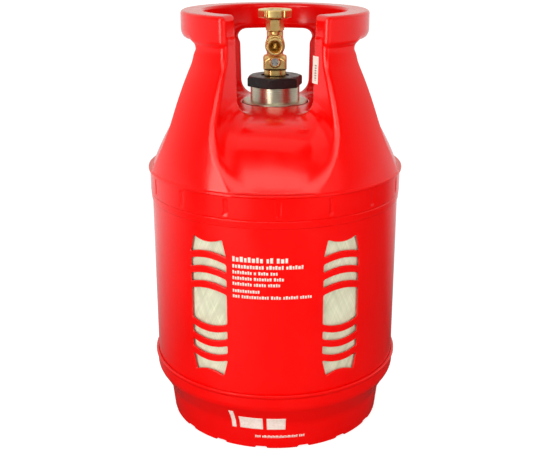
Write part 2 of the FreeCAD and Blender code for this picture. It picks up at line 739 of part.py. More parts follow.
def spindle():
    """Turned by the handwheel; its tongue drives the plug and lets it slide."""
    collar_low, collar_high = SPINDLE_COLLAR_Z
    tongue_r = 5.0
    thread_r = HANDWHEEL_THREAD_R
    tongue = Part.makeBox(TONGUE_THICKNESS, 2 * tongue_r, collar_low - TONGUE_LOW,
                          vec(-TONGUE_THICKNESS / 2, -tongue_r, TONGUE_LOW))
    tongue = tongue.common(tube(0, tongue_r, TONGUE_LOW, collar_low))
    collar = tube(0, SPINDLE_COLLAR_R, collar_low, collar_high)
    shaft = tube(0, SPINDLE_R, collar_low, SQUARE_Z[0])
    half = SQUARE_SIZE / 2
    square = Part.makeBox(SQUARE_SIZE, SQUARE_SIZE, SQUARE_Z[1] - SQUARE_Z[0],
                          vec(-half, -half, SQUARE_Z[0]))
    thread = tube(0, thread_r, SQUARE_Z[1] - 0.5, HEIGHT - 0.4)
    return tongue.fuse([collar, shaft, square, thread])


def handwheel():
    """Lobed wheel with a short hub and a sunk top for its nut."""
    hub_r = 9.7
    rim_low = WHEEL_LOW + 0.8
    rim_edge = 1.4
    sink_r = 8.0
    blank = turned_outline(
        (0, WHEEL_LOW), (hub_r, WHEEL_LOW), (hub_r, rim_low), (WHEEL_R - rim_edge, rim_low),
        (WHEEL_R, rim_low + rim_edge), (WHEEL_R, HEIGHT - rim_edge),
        (WHEEL_R - rim_edge, HEIGHT), (sink_r + 2.0, HEIGHT), (sink_r, WHEEL_SINK_Z),
        (0, WHEEL_SINK_Z))
    groove_r = 2.0
    reach = WHEEL_R + 0.3
    groove_cut = Part.makeCylinder(groove_r, 20.0, vec(0, -reach, WHEEL_LOW - 1.0))
    pitch = 360 / WHEEL_LOBES
    grooves = [spun(groove_cut, pitch * (k + 0.5)) for k in range(WHEEL_LOBES)]
    half = SQUARE_SIZE / 2 + RUN_GAP
    socket = Part.makeBox(2 * half, 2 * half, 10.0, vec(-half, -half, WHEEL_LOW - 1.0))
    return blank.cut(grooves + [socket])


def handwheel_nut():
    """Small hexagon that holds the wheel on the spindle."""
    across_flats = 7.0
    bore = tube(0, HANDWHEEL_THREAD_R + RUN_GAP, WHEEL_LOW, HEIGHT + 1.0)
    return chamfered_hexagon(across_flats, WHEEL_SINK_Z + SEAT_GAP, HEIGHT - 0.6).cut(bore)


def valve_plug():
    """Screwed plug that carries the seat disc; slotted on top for the spindle's tongue."""
    thread = tube(0, CHAMBER_R - RUN_GAP, PLUG_SLOT_FLOOR, PLUG_TOP)
    nose = tube(0, PLUG_NOSE_R, PLUG_LOW - 1.0, PLUG_SLOT_FLOOR)
    slot_half = TONGUE_THICKNESS / 2 + RUN_GAP
    slot = Part.makeBox(2 * slot_half, 20.0, 12.0, vec(-slot_half, -10.0, PLUG_SLOT_FLOOR))
    pocket = tube(0, SEAT_DISC_R + RUN_GAP, PLUG_LOW - 2.0, PLUG_LOW + 0.6)
    return thread.fuse(nose).cut([slot, pocket])


def plug_seat_disc():
    """Nylon disc that closes on the raised seat."""
    return tube(0, SEAT_DISC_R, SEAT_Z + RUN_GAP, PLUG_LOW + 0.55)


def relief_poppet():
    """Spring-loaded poppet of the relief valve."""
    seal_pocket = 1.2
    stem_far = RELIEF_BOSS_LENGTH - 0.4 - RELIEF_TRAVEL
    head = front_rod(RELIEF_HEAD_R, RELIEF_SEAT_Y + RUN_GAP, RELIEF_HEAD_Y, RELIEF_Z)
    pocket = front_rod(RELIEF_SEAL_R + RUN_GAP, RELIEF_SEAT_Y, RELIEF_SEAT_Y + seal_pocket,
                       RELIEF_Z)
    stem = front_rod(RELIEF_STEM_R, RELIEF_HEAD_Y, stem_far, RELIEF_Z)
    return head.cut(pocket).fuse(stem)


def relief_seal():
    """Rubber disc in the poppet's face."""
    return front_rod(RELIEF_SEAL_R, RELIEF_SEAT_Y + 0.06, RELIEF_SEAT_Y + 1.15, RELIEF_Z)


def relief_spring():
    """Compression spring between the poppet's head and the retainer."""
    wire_r = 0.35
    coil_r = 2.9
    turns = 3.25
    clear = wire_r + SEAT_GAP
    near = RELIEF_HEAD_Y + clear
    far = RETAINER_Y[0] - clear
    helix = Part.makeHelix((far - near) / turns, far - near, coil_r)
    start = helix.Vertexes[0].Point
    section = Part.Wire([Part.makeCircle(wire_r, start, vec(0, 1, 0))])
    coil = Part.Wire(helix.Edges).makePipeShell([section], True, True)
    coil.rotate(AXIS_FOOT, vec(1, 0, 0), 90)
    coil.translate(vec(0, -near, RELIEF_Z))
    return coil


def relief_retainer():
    """Screwed ring that loads the spring and guides the poppet's stem."""
    near, far = RETAINER_Y
    vent_r = 0.6
    vent_reach = 3.0
    disc = front_rod(RELIEF_BORE_R - RUN_GAP, near, far, RELIEF_Z)
    guide = front_rod(RELIEF_STEM_R + RUN_GAP, near - 1.0, far + 1.0, RELIEF_Z)
    vents = []
    for k in range(3):
        angle = math.radians(120 * k + 90)
        vents.append(front_rod(vent_r, near - 1.0, far + 1.0,
                               RELIEF_Z + vent_reach * math.sin(angle),
                               vent_reach * math.cos(angle)))
    return disc.cut([guide] + vents)


# ---- build --------------------------------------------------------------------------------
NODES = {
    "base_cup": base_cup,
    "middle_casing": middle_casing,
    "upper_casing": upper_casing,
    "date_label": date_label,
    "liner": liner,
    "composite_shell": composite_shell,
    "boss_insert": boss_insert,
    "boss_collar": boss_collar,
    "boss_oring": boss_oring,
    "neck_seal": neck_seal,
    "neck_nut": neck_nut,
    "valve_body": valve_body,
    "gland_nut": gland_nut,
    "gland_washer": gland_washer,
    "spindle_oring": spindle_oring,
    "thrust_washer": thrust_washer,
    "spindle": spindle,
    "handwheel": handwheel,
    "handwheel_nut": handwheel_nut,
    "valve_plug": valve_plug,
    "plug_seat_disc": plug_seat_disc,
    "relief_poppet": relief_poppet,
    "relief_seal": relief_seal,
    "relief_spring": relief_spring,
    "relief_retainer": relief_retainer,
}

os.makedirs("parts", exist_ok=True)
for name, make in NODES.items():
    shape = make()
    solids = shape.Solids
    assert solids and all(solid.isValid() for solid in solids), name
    Part.makeCompound(solids).exportStep("parts/" + name + ".step")
    print(name, len(solids), round(shape.Volume / 1000, 1), "cm3")
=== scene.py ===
"""Looks of a composite gas cylinder: red moulded casing, wound vessel and brass handwheel valve.

Shapes are worked out in millimetres as distance fields (negative inside the material), meshed on
a grid, and handed to Blender in metres. +Z is up and -Y is the front.
"""
import math

import bpy
import numpy as np
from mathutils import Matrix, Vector

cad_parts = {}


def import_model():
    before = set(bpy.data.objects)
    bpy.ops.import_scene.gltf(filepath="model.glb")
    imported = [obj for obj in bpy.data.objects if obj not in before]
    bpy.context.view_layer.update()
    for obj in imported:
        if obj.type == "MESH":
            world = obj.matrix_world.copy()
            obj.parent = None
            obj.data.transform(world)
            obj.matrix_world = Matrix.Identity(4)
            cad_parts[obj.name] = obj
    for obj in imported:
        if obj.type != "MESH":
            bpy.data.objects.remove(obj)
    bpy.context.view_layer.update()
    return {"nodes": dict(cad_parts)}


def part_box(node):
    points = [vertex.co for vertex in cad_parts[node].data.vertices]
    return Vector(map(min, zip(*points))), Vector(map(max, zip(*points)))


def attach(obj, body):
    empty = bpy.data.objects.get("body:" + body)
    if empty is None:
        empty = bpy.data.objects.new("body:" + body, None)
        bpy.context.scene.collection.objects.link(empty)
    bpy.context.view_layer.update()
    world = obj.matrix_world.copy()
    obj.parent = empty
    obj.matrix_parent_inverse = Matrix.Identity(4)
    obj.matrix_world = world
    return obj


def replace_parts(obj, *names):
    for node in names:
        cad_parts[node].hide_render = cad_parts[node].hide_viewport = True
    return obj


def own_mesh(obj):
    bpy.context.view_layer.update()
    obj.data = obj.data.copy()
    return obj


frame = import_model()

MM = 0.001


def reach(node):
    """Lowest corner and highest corner of a CAD node, in millimetres."""
    low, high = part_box(node)
    return np.array(low) / MM, np.array(high) / MM


# ---- sizes taken from the frame ----
UPPER_LOW, UPPER_HIGH = reach("upper_casing")
SLEEVE_LOW, SLEEVE_HIGH = reach("middle_casing")
CUP_LOW, CUP_HIGH = reach("base_cup")
HEIGHT = UPPER_HIGH[2]
FLANGE_R = UPPER_HIGH[0]
SEAM_Z = UPPER_LOW[2]
SLEEVE_R = SLEEVE_HIGH[0]
SLEEVE_Z = (SLEEVE_LOW[2], SLEEVE_HIGH[2])
CUP_TOP = CUP_HIGH[2]
CUP_LIP_R = CUP_HIGH[0]


# ---- distance fields ----
def both(a, b, radius):
    """Where two solids overlap, with the edge between them rounded."""
    corner = np.hypot(np.maximum(a + radius, 0), np.maximum(b + radius, 0))
    return np.minimum(np.maximum(a, b), -radius) + corner


def either(a, b, radius):
    """Two solids joined, with a fillet in the corner between them."""
    corner = np.hypot(np.maximum(radius - a, 0), np.maximum(radius - b, 0))
    return np.maximum(np.minimum(a, b), radius) - corner


def without(a, b, radius):
    """The first solid with the second cut away, its new edges rounded."""
    return both(a, -b, radius)


def fade(t):
    """Smooth step from 0 to 1."""
    t = np.clip(t, 0, 1)
    return t * t * (3 - 2 * t)


def off_turn(x, y, first, count):
    """Angle to the nearest of several directions spread evenly round the axis."""
    pitch = 2 * math.pi / count
    turn = np.arctan2(y, x) - first
    return np.abs((turn + pitch / 2) % pitch - pitch / 2)


def repeated(x, y, first, count):
    """Distance across the nearest of several planes through the axis."""
    return off_turn(x, y, first, count) * np.hypot(x, y)


def rod(across, along, radius, near, far, edge):
    """A round bar from its distance across and along its axis."""
    return both(across - radius, np.maximum(near - along, along - far), edge)


def arc_chain(r, z, start, leans, radii):
    """Distance to a wall of joined arcs, in a section.

    The lean is the wall's angle from vertical in degrees, positive towards r = 0 going up, and a
    negative radius is a hollow arc. Both ends go on as straight lines.
    """
    nearest = np.full(np.broadcast(r, z).shape, np.inf, np.float32)
    signed = np.zeros_like(nearest)
    at = start
    for lean_from, lean_to, radius in zip(leans, leans[1:], radii):
        low, high = sorted(math.radians(a) for a in (lean_from, lean_to))
        first = math.radians(lean_from)
        centre = (at[0] - radius * math.cos(first), at[1] - radius * math.sin(first))
        side = math.copysign(1, radius)
        lean = np.clip(np.arctan2(side * (z - centre[1]), side * (r - centre[0])), low, high)
        along_r, along_z = np.cos(lean), np.sin(lean)
        off_r = r - centre[0] - radius * along_r
        off_z = z - centre[1] - radius * along_z
        away = np.hypot(off_r, off_z)
        height = off_r * along_r + off_z * along_z
        closer = away < nearest - 1e-3
        nearest = np.where(closer, away, nearest)
        signed = np.where(closer, height, signed)
        last = math.radians(lean_to)
        at = (centre[0] + radius * math.cos(last), centre[1] + radius * math.sin(last))
    return signed


def outline_field(r, z, corners):
    """Distance to a closed polygon in a section."""
    best = np.full(np.broadcast(r, z).shape, np.inf, np.float32)
    sign = np.ones_like(best)
    for (r0, z0), (r1, z1) in zip(corners, corners[1:] + corners[:1]):
        edge_r, edge_z = r1 - r0, z1 - z0
        t = ((r - r0) * edge_r + (z - z0) * edge_z) / (edge_r ** 2 + edge_z ** 2)
        t = np.clip(t, 0, 1)
        best = np.minimum(best, np.hypot(r - r0 - t * edge_r, z - z0 - t * edge_z))
        above = z >= z0
        below = z < z1
        left = edge_r * (z - z0) > edge_z * (r - r0)
        crosses = (above & below & left) | (~above & ~below & ~left)
        sign = np.where(crosses, -sign, sign)
    return sign * best


# ---- meshing ----
def spaced(*stops):
    """Grid lines from (position, step) stops; each step holds up to the next stop."""
    runs = []
    for (start, step), (end, _) in zip(stops, stops[1:]):
        count = max(1, round((end - start) / step))
        runs.append(np.linspace(start, end, count, endpoint=False))
    runs.append([stops[-1][0]])
    return np.concatenate(runs).astype(np.float32)


def around(count):
    """Angles of one full turn; the last repeats the first."""
    return np.linspace(0, 2 * math.pi, count + 1).astype(np.float32)


def round_place(angle, height, radius):
    """Place of a point given round, up and away from the Z axis."""
    return radius * np.cos(angle), radius * np.sin(angle), height


def plain_place(x, y, z):
    """Place of a point on a plain grid."""
    return x, y, z


def slopes(field, points, step=0.05):
    """Gradient of a field at points."""
    parts = []
    for axis in range(3):
        ahead, behind = points.copy(), points.copy()
        ahead[:, axis] += step
        behind[:, axis] -= step
        parts.append((field(*ahead.T) - field(*behind.T)) / (2 * step))
    return np.stack(parts, 1)


def settle(field, points, limit):
    """Moves points onto the surface of a field, and gives the normals there."""
    start = points.copy()
    rounds, least_steepness = 5, 0.05
    for _ in range(rounds):
        slope = slopes(field, points)
        steepness = np.maximum((slope ** 2).sum(1), least_steepness)
        points = points - slope * (field(*points.T) / steepness)[:, None]
        moved = points - start
        length = np.linalg.norm(moved, axis=1, keepdims=True)
        points = start + moved * np.minimum(1, limit / np.maximum(length, 1e-9))
    slope = slopes(field, points)
    return points, slope / np.maximum(np.linalg.norm(slope, axis=1, keepdims=True), 1e-9)


def net(field, place, axes, loops):
    """Quads round the surface of a field sampled on grid lines, one point in each crossed cell.

    axes are three arrays of grid lines, right-handed after place; loops says that the first axis
    closes on itself. Gives points and quads.
    """
    grid = np.meshgrid(*axes, indexing="ij")
    values = field(*place(*grid)).astype(np.float32)
    shape = [len(lines) - 1 for lines in axes]
    total = np.zeros(shape + [3], np.float32)
    count = np.zeros(shape, np.float32)
    crossings = []
    # each cell's point is the mean of the places where its edges cross the surface
    for axis in range(3):
        near = np.take(values, np.arange(shape[axis]), axis)
        far = np.take(values, np.arange(1, shape[axis] + 1), axis)
        crossed = (near < 0) != (far < 0)
        share = np.where(crossed, near / np.where(crossed, near - far, 1), 0)
        crossings.append((crossed, near < 0))
        others = [a for a in range(3) if a != axis]
        for shift_b in (0, 1):
            for shift_c in (0, 1):
                cut = [slice(None)] * 3
                cut[others[0]] = slice(shift_b, shape[others[0]] + shift_b)
                cut[others[1]] = slice(shift_c, shape[others[1]] + shift_c)
                hit = crossed[tuple(cut)]
                count += hit
                for a in range(3):
                    first, step = grid[a], 0
                    base = first[tuple(
                        cut[n] if n != axis else slice(0, shape[axis]) for n in range(3))]
                    if a == axis:
                        widths = np.diff(axes[a]).reshape([-1 if n == a else 1 for n in range(3)])
                        step = share[tuple(cut)] * widths
                    total[..., a] += np.where(hit, base + step, 0)
    used = count > 0
    cells = total[used] / count[used][:, None]
    index = np.full(shape, -1, np.int64)
    index[used] = np.arange(len(cells))
    padded = np.pad(index, ((1, 0), (1, 0), (1, 0)), constant_values=-1)
    if loops:
        padded[0] = padded[-1]
    quads = []
    # each crossed grid edge gives one quad, which joins the four cells round it
    for axis in range(3):
        b, c = (axis + 1) % 3, (axis + 2) % 3
        crossed, starts_inside = crossings[axis]
        cut = [slice(None)] * 3
        cut[b] = slice(0, shape[b])
        cut[c] = slice(0, shape[c])
        at = np.argwhere(crossed[tuple(cut)])
        inside = starts_inside[tuple(cut)][tuple(at.T)]
        corners = []
        for shift_b, shift_c in ((0, 0), (1, 0), (1, 1), (0, 1)):
            cell = at.copy()
            cell[:, axis] += 1
            cell[:, b] += shift_b
            cell[:, c] += shift_c
            corners.append(padded[tuple(cell.T)])
        ring = np.stack(corners, 1)
        ring[~inside] = ring[~inside][:, ::-1]
        quads.append(ring)
    quads = np.concatenate(quads)
    points = np.stack(place(*cells.T), 1).astype(np.float64)
    return points, quads


def placed(name, data):
    """A new object in the scene that shows a mesh, a lamp or a camera."""
    made = bpy.data.objects.new(name, data)
    bpy.context.scene.collection.objects.link(made)
    return made


def piece(name, body, look, points, faces, normals=None):
    """A mesh in metres that rides on a body and wears its look's material."""
    mesh = bpy.data.meshes.new(name)
    faces = np.asarray(faces)
    sides = faces.shape[1]
    mesh.vertices.add(len(points))
    mesh.loops.add(faces.size)
    mesh.polygons.add(len(faces))
    mesh.vertices.foreach_set("co", (np.asarray(points) * MM).astype(np.float32).ravel())
    mesh.loops.foreach_set("vertex_index", faces.astype(np.int32).ravel())
    mesh.polygons.foreach_set("loop_start", np.arange(0, faces.size, sides, dtype=np.int32))
    mesh.update(calc_edges=True)
    mesh.validate()
    mesh.polygons.foreach_set("use_smooth", np.ones(len(mesh.polygons), bool))
    if normals is not None:
        mesh.normals_split_custom_set_from_vertices(normals.astype(np.float32))
    mesh.materials.append(LOOKS[look])
    made = placed(name, mesh)
    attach(made, body)
    return made


def field_piece(name, node, look, field, axes, limit, flat=False, body="cylinder"):
    """Stands for a CAD node with a field meshed on a round grid or, with flat, a plain one."""
    place = plain_place if flat else round_place
    points, quads = net(field, place, axes, not flat)
    points, normals = settle(field, points, limit)
    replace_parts(piece(name, body, look, points, quads, normals), node)


# ---- upper casing ----
CASING_WALL = 3.2
FLANGE_TOP = 319.0
BAND_R = FLANGE_R - 1.9
DOME_START = (FLANGE_R - 5.2, FLANGE_TOP)
DOME_LEANS = (20.6, 29.9, 78.0, 90.0)
DOME_RADII = (280.0, 55.0, 326.0)
CROWN_HOLE_R = 39.6
CROWN_HOLE_Z = 340.0
CROWN_HOLE_EDGE = 0.8
LEG_START = (FLANGE_R - 0.9, FLANGE_TOP)
LEG_LEANS = (10.0, 26.0, 0.0)
LEG_RADII = (466.0, -50.5)
LEG_TOP = HEIGHT - 24.0
LEG_TOP_EDGE = 1.0
LEG_EDGE = 6.0
INNER_EDGE = 4.0
JAMB_BLEND = 20.0
RING_R = 109.0
RING_INNER_R = 83.0
RING_LOW = HEIGHT - 33.0
RING_EDGE = 3.5
RING_LOW_EDGE = 5.0
RING_BLEND = 1.5
RING_OPENING_EDGE = 12.0
RING_OPENING_Z = RING_LOW - 16.0
RING_OPENING_RISE = 12.0
OPENING_FLARE = 0.55
OPENING_REF = 70.0
OPENING_TAPER = 1.4
OPENING_HALF = 39.2
OPENING_CURVE_Z = 390.0
OPENING_CURVE_R = 90.0
OPENING_FOOT_LEAN = 29.0
OPENING_CORNER = 10.0
SOCKET_R = SLEEVE_R + 0.25
SOCKET_TOP = SLEEVE_Z[1] + 0.3
SOCKET_EDGE = 0.3
BAND_TOP = 315.2
SKIRT_LAP = 2.0
SKIRT_BLEND = 1.6
SKIRT = [
    (0, SEAM_Z), (SOCKET_R + 0.8, SEAM_Z), (BAND_R - 0.3, SEAM_Z + 7.6),
    (BAND_R - 0.9, SEAM_Z + 8.6), (BAND_R, SEAM_Z + 9.8), (BAND_R, BAND_TOP),
    (FLANGE_R, BAND_TOP + 1.2), (FLANGE_R, FLANGE_TOP - 0.6), (FLANGE_R - 0.6, FLANGE_TOP),
    (0, FLANGE_TOP)]
SNAP_MARKS = 16
SNAP_FIRST = math.radians(-90 + 1.6)
SNAP_DEPTH = 0.8
SNAP_HALF = 3.4
SNAP_SLOPE = 1.8
SNAP_Z = (SEAM_Z + 12.0, 314.0)
SNAP_END_SLOPE = 3.0


def opening(x, y, z):
    """The four hand openings, and which places face the front one, which has no top."""
    facing = np.abs(y) >= np.abs(x)
    out = np.where(facing, np.abs(y), np.abs(x))
    across = np.where(facing, np.abs(x), np.abs(y))
    spread = across - OPENING_FLARE * (out - OPENING_REF)
    taper = math.radians(OPENING_TAPER)
    centre = (OPENING_HALF - OPENING_CURVE_R * math.cos(taper),
              OPENING_CURVE_Z + OPENING_CURVE_R * math.sin(taper))
    foot = math.radians(OPENING_FOOT_LEAN)
    start = (centre[0] + OPENING_CURVE_R * math.cos(foot),
             centre[1] - OPENING_CURVE_R * math.sin(foot))
    side = arc_chain(spread, z, start, (-OPENING_FOOT_LEAN, -OPENING_TAPER), (OPENING_CURVE_R,))
    side = side / math.hypot(1, OPENING_FLARE)
    closed = both(side, z - RING_LOW, OPENING_CORNER)
    front = facing & (y < 0)
    return np.where(front, side, closed), front


def carrying_ring(r, z):
    """Flat ring with rounded edges, before the front gap is cut."""
    sides = (r - RING_R, RING_INNER_R - r)
    edge = both(sides[0], z - HEIGHT, RING_EDGE)
    edge = np.maximum(edge, both(sides[1], z - HEIGHT, RING_EDGE))
    edge = np.maximum(edge, both(sides[0], RING_LOW - z, RING_LOW_EDGE))
    return np.maximum(edge, both(sides[1], RING_LOW - z, RING_LOW_EDGE))


def snap_marks(x, y, z):
    """Depth of the soft hollows where the snap hooks are moulded."""
    off = off_turn(x, y, SNAP_FIRST, SNAP_MARKS) * BAND_R
    ends = fade((z - SNAP_Z[0]) / SNAP_END_SLOPE) * fade((SNAP_Z[1] - z) / SNAP_END_SLOPE)
    return SNAP_DEPTH * fade((SNAP_HALF - off) / SNAP_SLOPE) * ends


def upper_outside(x, y, z):
    """Outer surface of the upper casing."""
    r = np.hypot(x, y)
    hole, front = opening(x, y, z)
    dome = arc_chain(r, z, DOME_START, DOME_LEANS, DOME_RADII)
    wall = arc_chain(r, z, LEG_START, LEG_LEANS, LEG_RADII)
    legs = both(without(RING_INNER_R - r, hole, INNER_EDGE), z - LEG_TOP, LEG_TOP_EDGE)
    body = both(either(legs, dome, JAMB_BLEND), wall, LEG_EDGE)
    ring = carrying_ring(r, z)
    ring = np.where(front, without(ring, hole, LEG_EDGE), ring)
    body = either(body, ring, RING_BLEND)
    lip = RING_OPENING_EDGE * fade((z - RING_OPENING_Z) / RING_OPENING_RISE) * ~front
    body = np.where(lip > 0, without(body, hole, lip), body)
    body = np.maximum(body, FLANGE_TOP - SKIRT_LAP - z)
    return either(body, outline_field(r, z, SKIRT), SKIRT_BLEND) + snap_marks(x, y, z)


def upper_shell(x, y, z):
    """Upper casing with the room for the vessel, the crown hole and the socket cut out."""
    r = np.hypot(x, y)
    dome = arc_chain(r, z, DOME_START, DOME_LEANS, DOME_RADII)
    room = np.maximum(dome + CASING_WALL, r - SLEEVE_R + SLEEVE_WALL)
    socket = np.maximum(r - SOCKET_R, z - SOCKET_TOP)
    shell = without(upper_outside(x, y, z), np.minimum(room, socket), SOCKET_EDGE)
    return without(shell, np.maximum(r - CROWN_HOLE_R, CROWN_HOLE_Z - z), CROWN_HOLE_EDGE)


# ---- middle casing ----
SLEEVE_WALL = 2.5
SLEEVE_EDGE = 0.6
WINDOW_AZIMUTH = math.radians(30.5)
WINDOW_HALF = 23.8
WINDOW_MIDDLE_Z = 182.2
WINDOW_BOW = 4.5
WINDOW_TALL_HALF = 22.2
WINDOW_SLOT = 9.6
WINDOW_PITCH = 18.1
WINDOW_EAR = 20.0
WINDOW_EAR_NARROWS = 5.0
WINDOW_CORNER = 1.8
WINDOW_EDGE = 1.0


def windows(x, y, z):
    """The seven openings of each window group, in the two mirrored directions."""
    azimuth = np.arctan2(np.abs(x), np.abs(y))
    side = (azimuth - WINDOW_AZIMUTH) * SLEEVE_R
    up = np.abs(z - WINDOW_MIDDLE_Z)
    bow = WINDOW_BOW * (1 - np.minimum(np.abs(side) / WINDOW_HALF, 1.3) ** 2)
    sides = np.abs(side) - WINDOW_HALF
    tall = WINDOW_TALL_HALF - WINDOW_BOW
    found = both(sides, up - tall - bow, WINDOW_CORNER)
    first = tall + WINDOW_PITCH - WINDOW_SLOT
    for row in range(2):
        low = first + row * WINDOW_PITCH
        slot = both(low + bow - up, up - low - WINDOW_SLOT - bow, WINDOW_CORNER)
        found = np.minimum(found, both(sides, slot, WINDOW_CORNER))
    low = first + 2 * WINDOW_PITCH
    ear_half = WINDOW_HALF - WINDOW_EAR_NARROWS
    dip = WINDOW_BOW * (1 - (side / ear_half) ** 2)
    level = both(low + bow - up, up - low - WINDOW_EAR + dip, WINDOW_CORNER)
    narrowed = sides + WINDOW_EAR_NARROWS * (up - low) / WINDOW_EAR
    return np.minimum(found, both(narrowed, level, WINDOW_CORNER))


def sleeve_blank(x, y, z):
    """Thin round sleeve before its windows are cut."""
    r = np.hypot(x, y)
    wall = both(r - SLEEVE_R, SLEEVE_R - SLEEVE_WALL - r, SLEEVE_EDGE)
    return both(wall, np.maximum(SLEEVE_Z[0] - z, z - SLEEVE_Z[1]), SLEEVE_EDGE)


def sleeve(x, y, z):
    """Thin round sleeve with its window groups."""
    return without(sleeve_blank(x, y, z), windows(x, y, z), WINDOW_EDGE)


def sleeve_grid():
    """Round grid lines that are close together only where the windows are."""
    half = WINDOW_HALF + 3
    fine = [WINDOW_AZIMUTH - half / SLEEVE_R, WINDOW_AZIMUTH + half / SLEEVE_R]
    coarse_turn, fine_turn = 0.022, 0.0085
    quarter = [(0, coarse_turn), (fine[0], fine_turn), (fine[1], coarse_turn), (math.pi / 2, 0)]
    turn = spaced(*quarter)[:-1]
    ahead = np.concatenate([turn, math.pi - np.append(turn[1:], math.pi / 2)[::-1]])
    azimuths = np.concatenate([ahead, ahead + math.pi, [2 * math.pi]])
    reach_z = WINDOW_TALL_HALF + 3 * WINDOW_PITCH + WINDOW_EAR
    heights = spaced(
        (SLEEVE_Z[0] - 1.5, 1.0), (SLEEVE_Z[0] + 4, 4.0), (WINDOW_MIDDLE_Z - reach_z, 1.2),
        (WINDOW_MIDDLE_Z + reach_z, 4.0), (SLEEVE_Z[1] - 3, 1.0), (SLEEVE_Z[1] + 2, 0))
    return [(azimuths - math.pi / 2).astype(np.float32), heights,
            spaced((SLEEVE_R - SLEEVE_WALL - 1.2, 0.6), (SLEEVE_R + 1.2, 0))]


# ---- base cup ----
CREASE = (134.2, 34.5)
FOOT_LEAN = -6.3
CUP_LEANS = (-23.9, -34.3)
CUP_RADIUS = -170.0
CUP_BAND_R = CUP_LIP_R - 2.0
CUP_LIP_LOW = 76.0
CUP_LIP_INNER_R = 140.0
CUP_FLOOR_Z = 66.0
WELL_R = SLEEVE_R - SLEEVE_WALL - 0.3
WELL_Z = 62.5
LEDGE_LOW = (135.5, 46.5)
FOOT_NOTCHES = 16
FOOT_NOTCH_WIDTH = 13.0
FOOT_NOTCH_HEIGHT = 3.0
FOOT_NOTCH_FIRST = math.radians(-90 - 7.4)
FOOT_NOTCH_INNER_R = 120.0
FOOT_WALL = 4.0
DISH_HALF = 145.5
DISH_DEPTH = 71.0
DISH_Z = 82.0
DISH_WALL = 3.0
DISH_HOLE_R = 36.0
RIB_WALL = 2.6
RIB_Z = (7, 56)


def bowl(r, z, grow):
    """Inside of the dish that holds the vessel."""
    wide, deep = DISH_HALF + grow, DISH_DEPTH + grow
    up = z - DISH_Z
    share = np.hypot(r / wide, up / deep)
    slope = np.maximum(np.hypot(r / wide ** 2, up / deep ** 2), 1e-6)
    return share * (share - 1) / slope


def cup(x, y, z):
    """Foot ring with drain notches, flared wall, lip, ledge for the sleeve, dish and ribs."""
    r = np.hypot(x, y)
    lean = math.radians(FOOT_LEAN)
    foot = (r - CREASE[0]) * math.cos(lean) + (z - CREASE[1]) * math.sin(lean)
    flare = arc_chain(r, z, CREASE, CUP_LEANS, (CUP_RADIUS,))
    outside = both(either(foot, flare, 1.5), r - CUP_BAND_R, 2.5)
    lip = outline_field(r, z, [
        (CUP_LIP_INNER_R, CUP_LIP_LOW), (CUP_BAND_R, CUP_LIP_LOW), (CUP_LIP_R, CUP_TOP - 2.6),
        (CUP_LIP_R, CUP_TOP - 0.8), (CUP_LIP_R - 0.8, CUP_TOP), (CUP_LIP_INNER_R, CUP_TOP)])
    outside = both(np.minimum(outside, lip), z - CUP_TOP, 0.5)
    outside = both(outside, -z, 2.4)
    seat = np.maximum(r - SOCKET_R, CUP_FLOOR_Z - z)
    well = np.maximum(r - WELL_R, WELL_Z - z)
    ledge = outline_field(r, z, [
        (0, LEDGE_LOW[1]), LEDGE_LOW, (WELL_R, WELL_Z), (0, WELL_Z)])
    above = np.minimum(np.minimum(np.minimum(seat, well), ledge), bowl(r, z, 0))
    under = both(foot + FOOT_WALL, -bowl(r, z, DISH_WALL), 1.0)
    ribs = repeated(x, y, FOOT_NOTCH_FIRST + math.pi / FOOT_NOTCHES, FOOT_NOTCHES) - RIB_WALL / 2
    ribs = np.maximum(ribs, RIB_Z[0] - z)
    under = np.maximum(without(under, ribs, 0.8), z - RIB_Z[1])
    solid = without(without(outside, above, 0.5), under, 0.8)
    notch = repeated(x, y, FOOT_NOTCH_FIRST, FOOT_NOTCHES) - FOOT_NOTCH_WIDTH / 2
    notch = both(np.maximum(notch, FOOT_NOTCH_INNER_R - r), z - FOOT_NOTCH_HEIGHT, 1.0)
    solid = without(solid, notch, 0.8)
    return without(solid, r - DISH_HOLE_R, 1.0)


# ---- turned parts ----
def rounded(corners, radius, steps=4):
    """A closed section outline with every corner rounded."""
    made = []
    count = len(corners)
    for k in range(count):
        before, at, after = (np.array(corners[(k + n) % count], float) for n in (-1, 0, 1))
        towards, onwards = before - at, after - at
        room = min(np.linalg.norm(towards), np.linalg.norm(onwards)) * 0.45
        towards, onwards = towards / np.linalg.norm(towards), onwards / np.linalg.norm(onwards)
        half = math.acos(max(-1, min(1, float(towards @ onwards)))) / 2
        nearly_straight = half > math.radians(88)
        if nearly_straight:
            made.append(at)
            continue
        back = min(radius / math.tan(half), room)
        for t in np.linspace(0, 1, steps + 1):
            start, end = at + towards * back, at + onwards * back
            made.append((1 - t) ** 2 * start + 2 * t * (1 - t) * at + t * t * end)
    return np.array(made)


def turned_piece(name, node, look, outline):
    """Stands for a CAD node with a closed, anticlockwise section turned about the Z axis."""
    count = 256
    angles = np.linspace(0, 2 * math.pi, count, endpoint=False)
    size = len(outline)
    r, z = outline[:, 0], outline[:, 1]
    points = np.stack([
        np.outer(np.cos(angles), r), np.outer(np.sin(angles), r), np.outer(np.ones(count), z)], 2)
    here, up = np.meshgrid(np.arange(count), np.arange(size), indexing="ij")
    there, above = (here + 1) % count, (up + 1) % size
    quads = np.stack([here * size + up, there * size + up, there * size + above,
                      here * size + above], 2)
    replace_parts(piece(name, "cylinder", look, points.reshape(-1, 3), quads.reshape(-1, 4)), node)


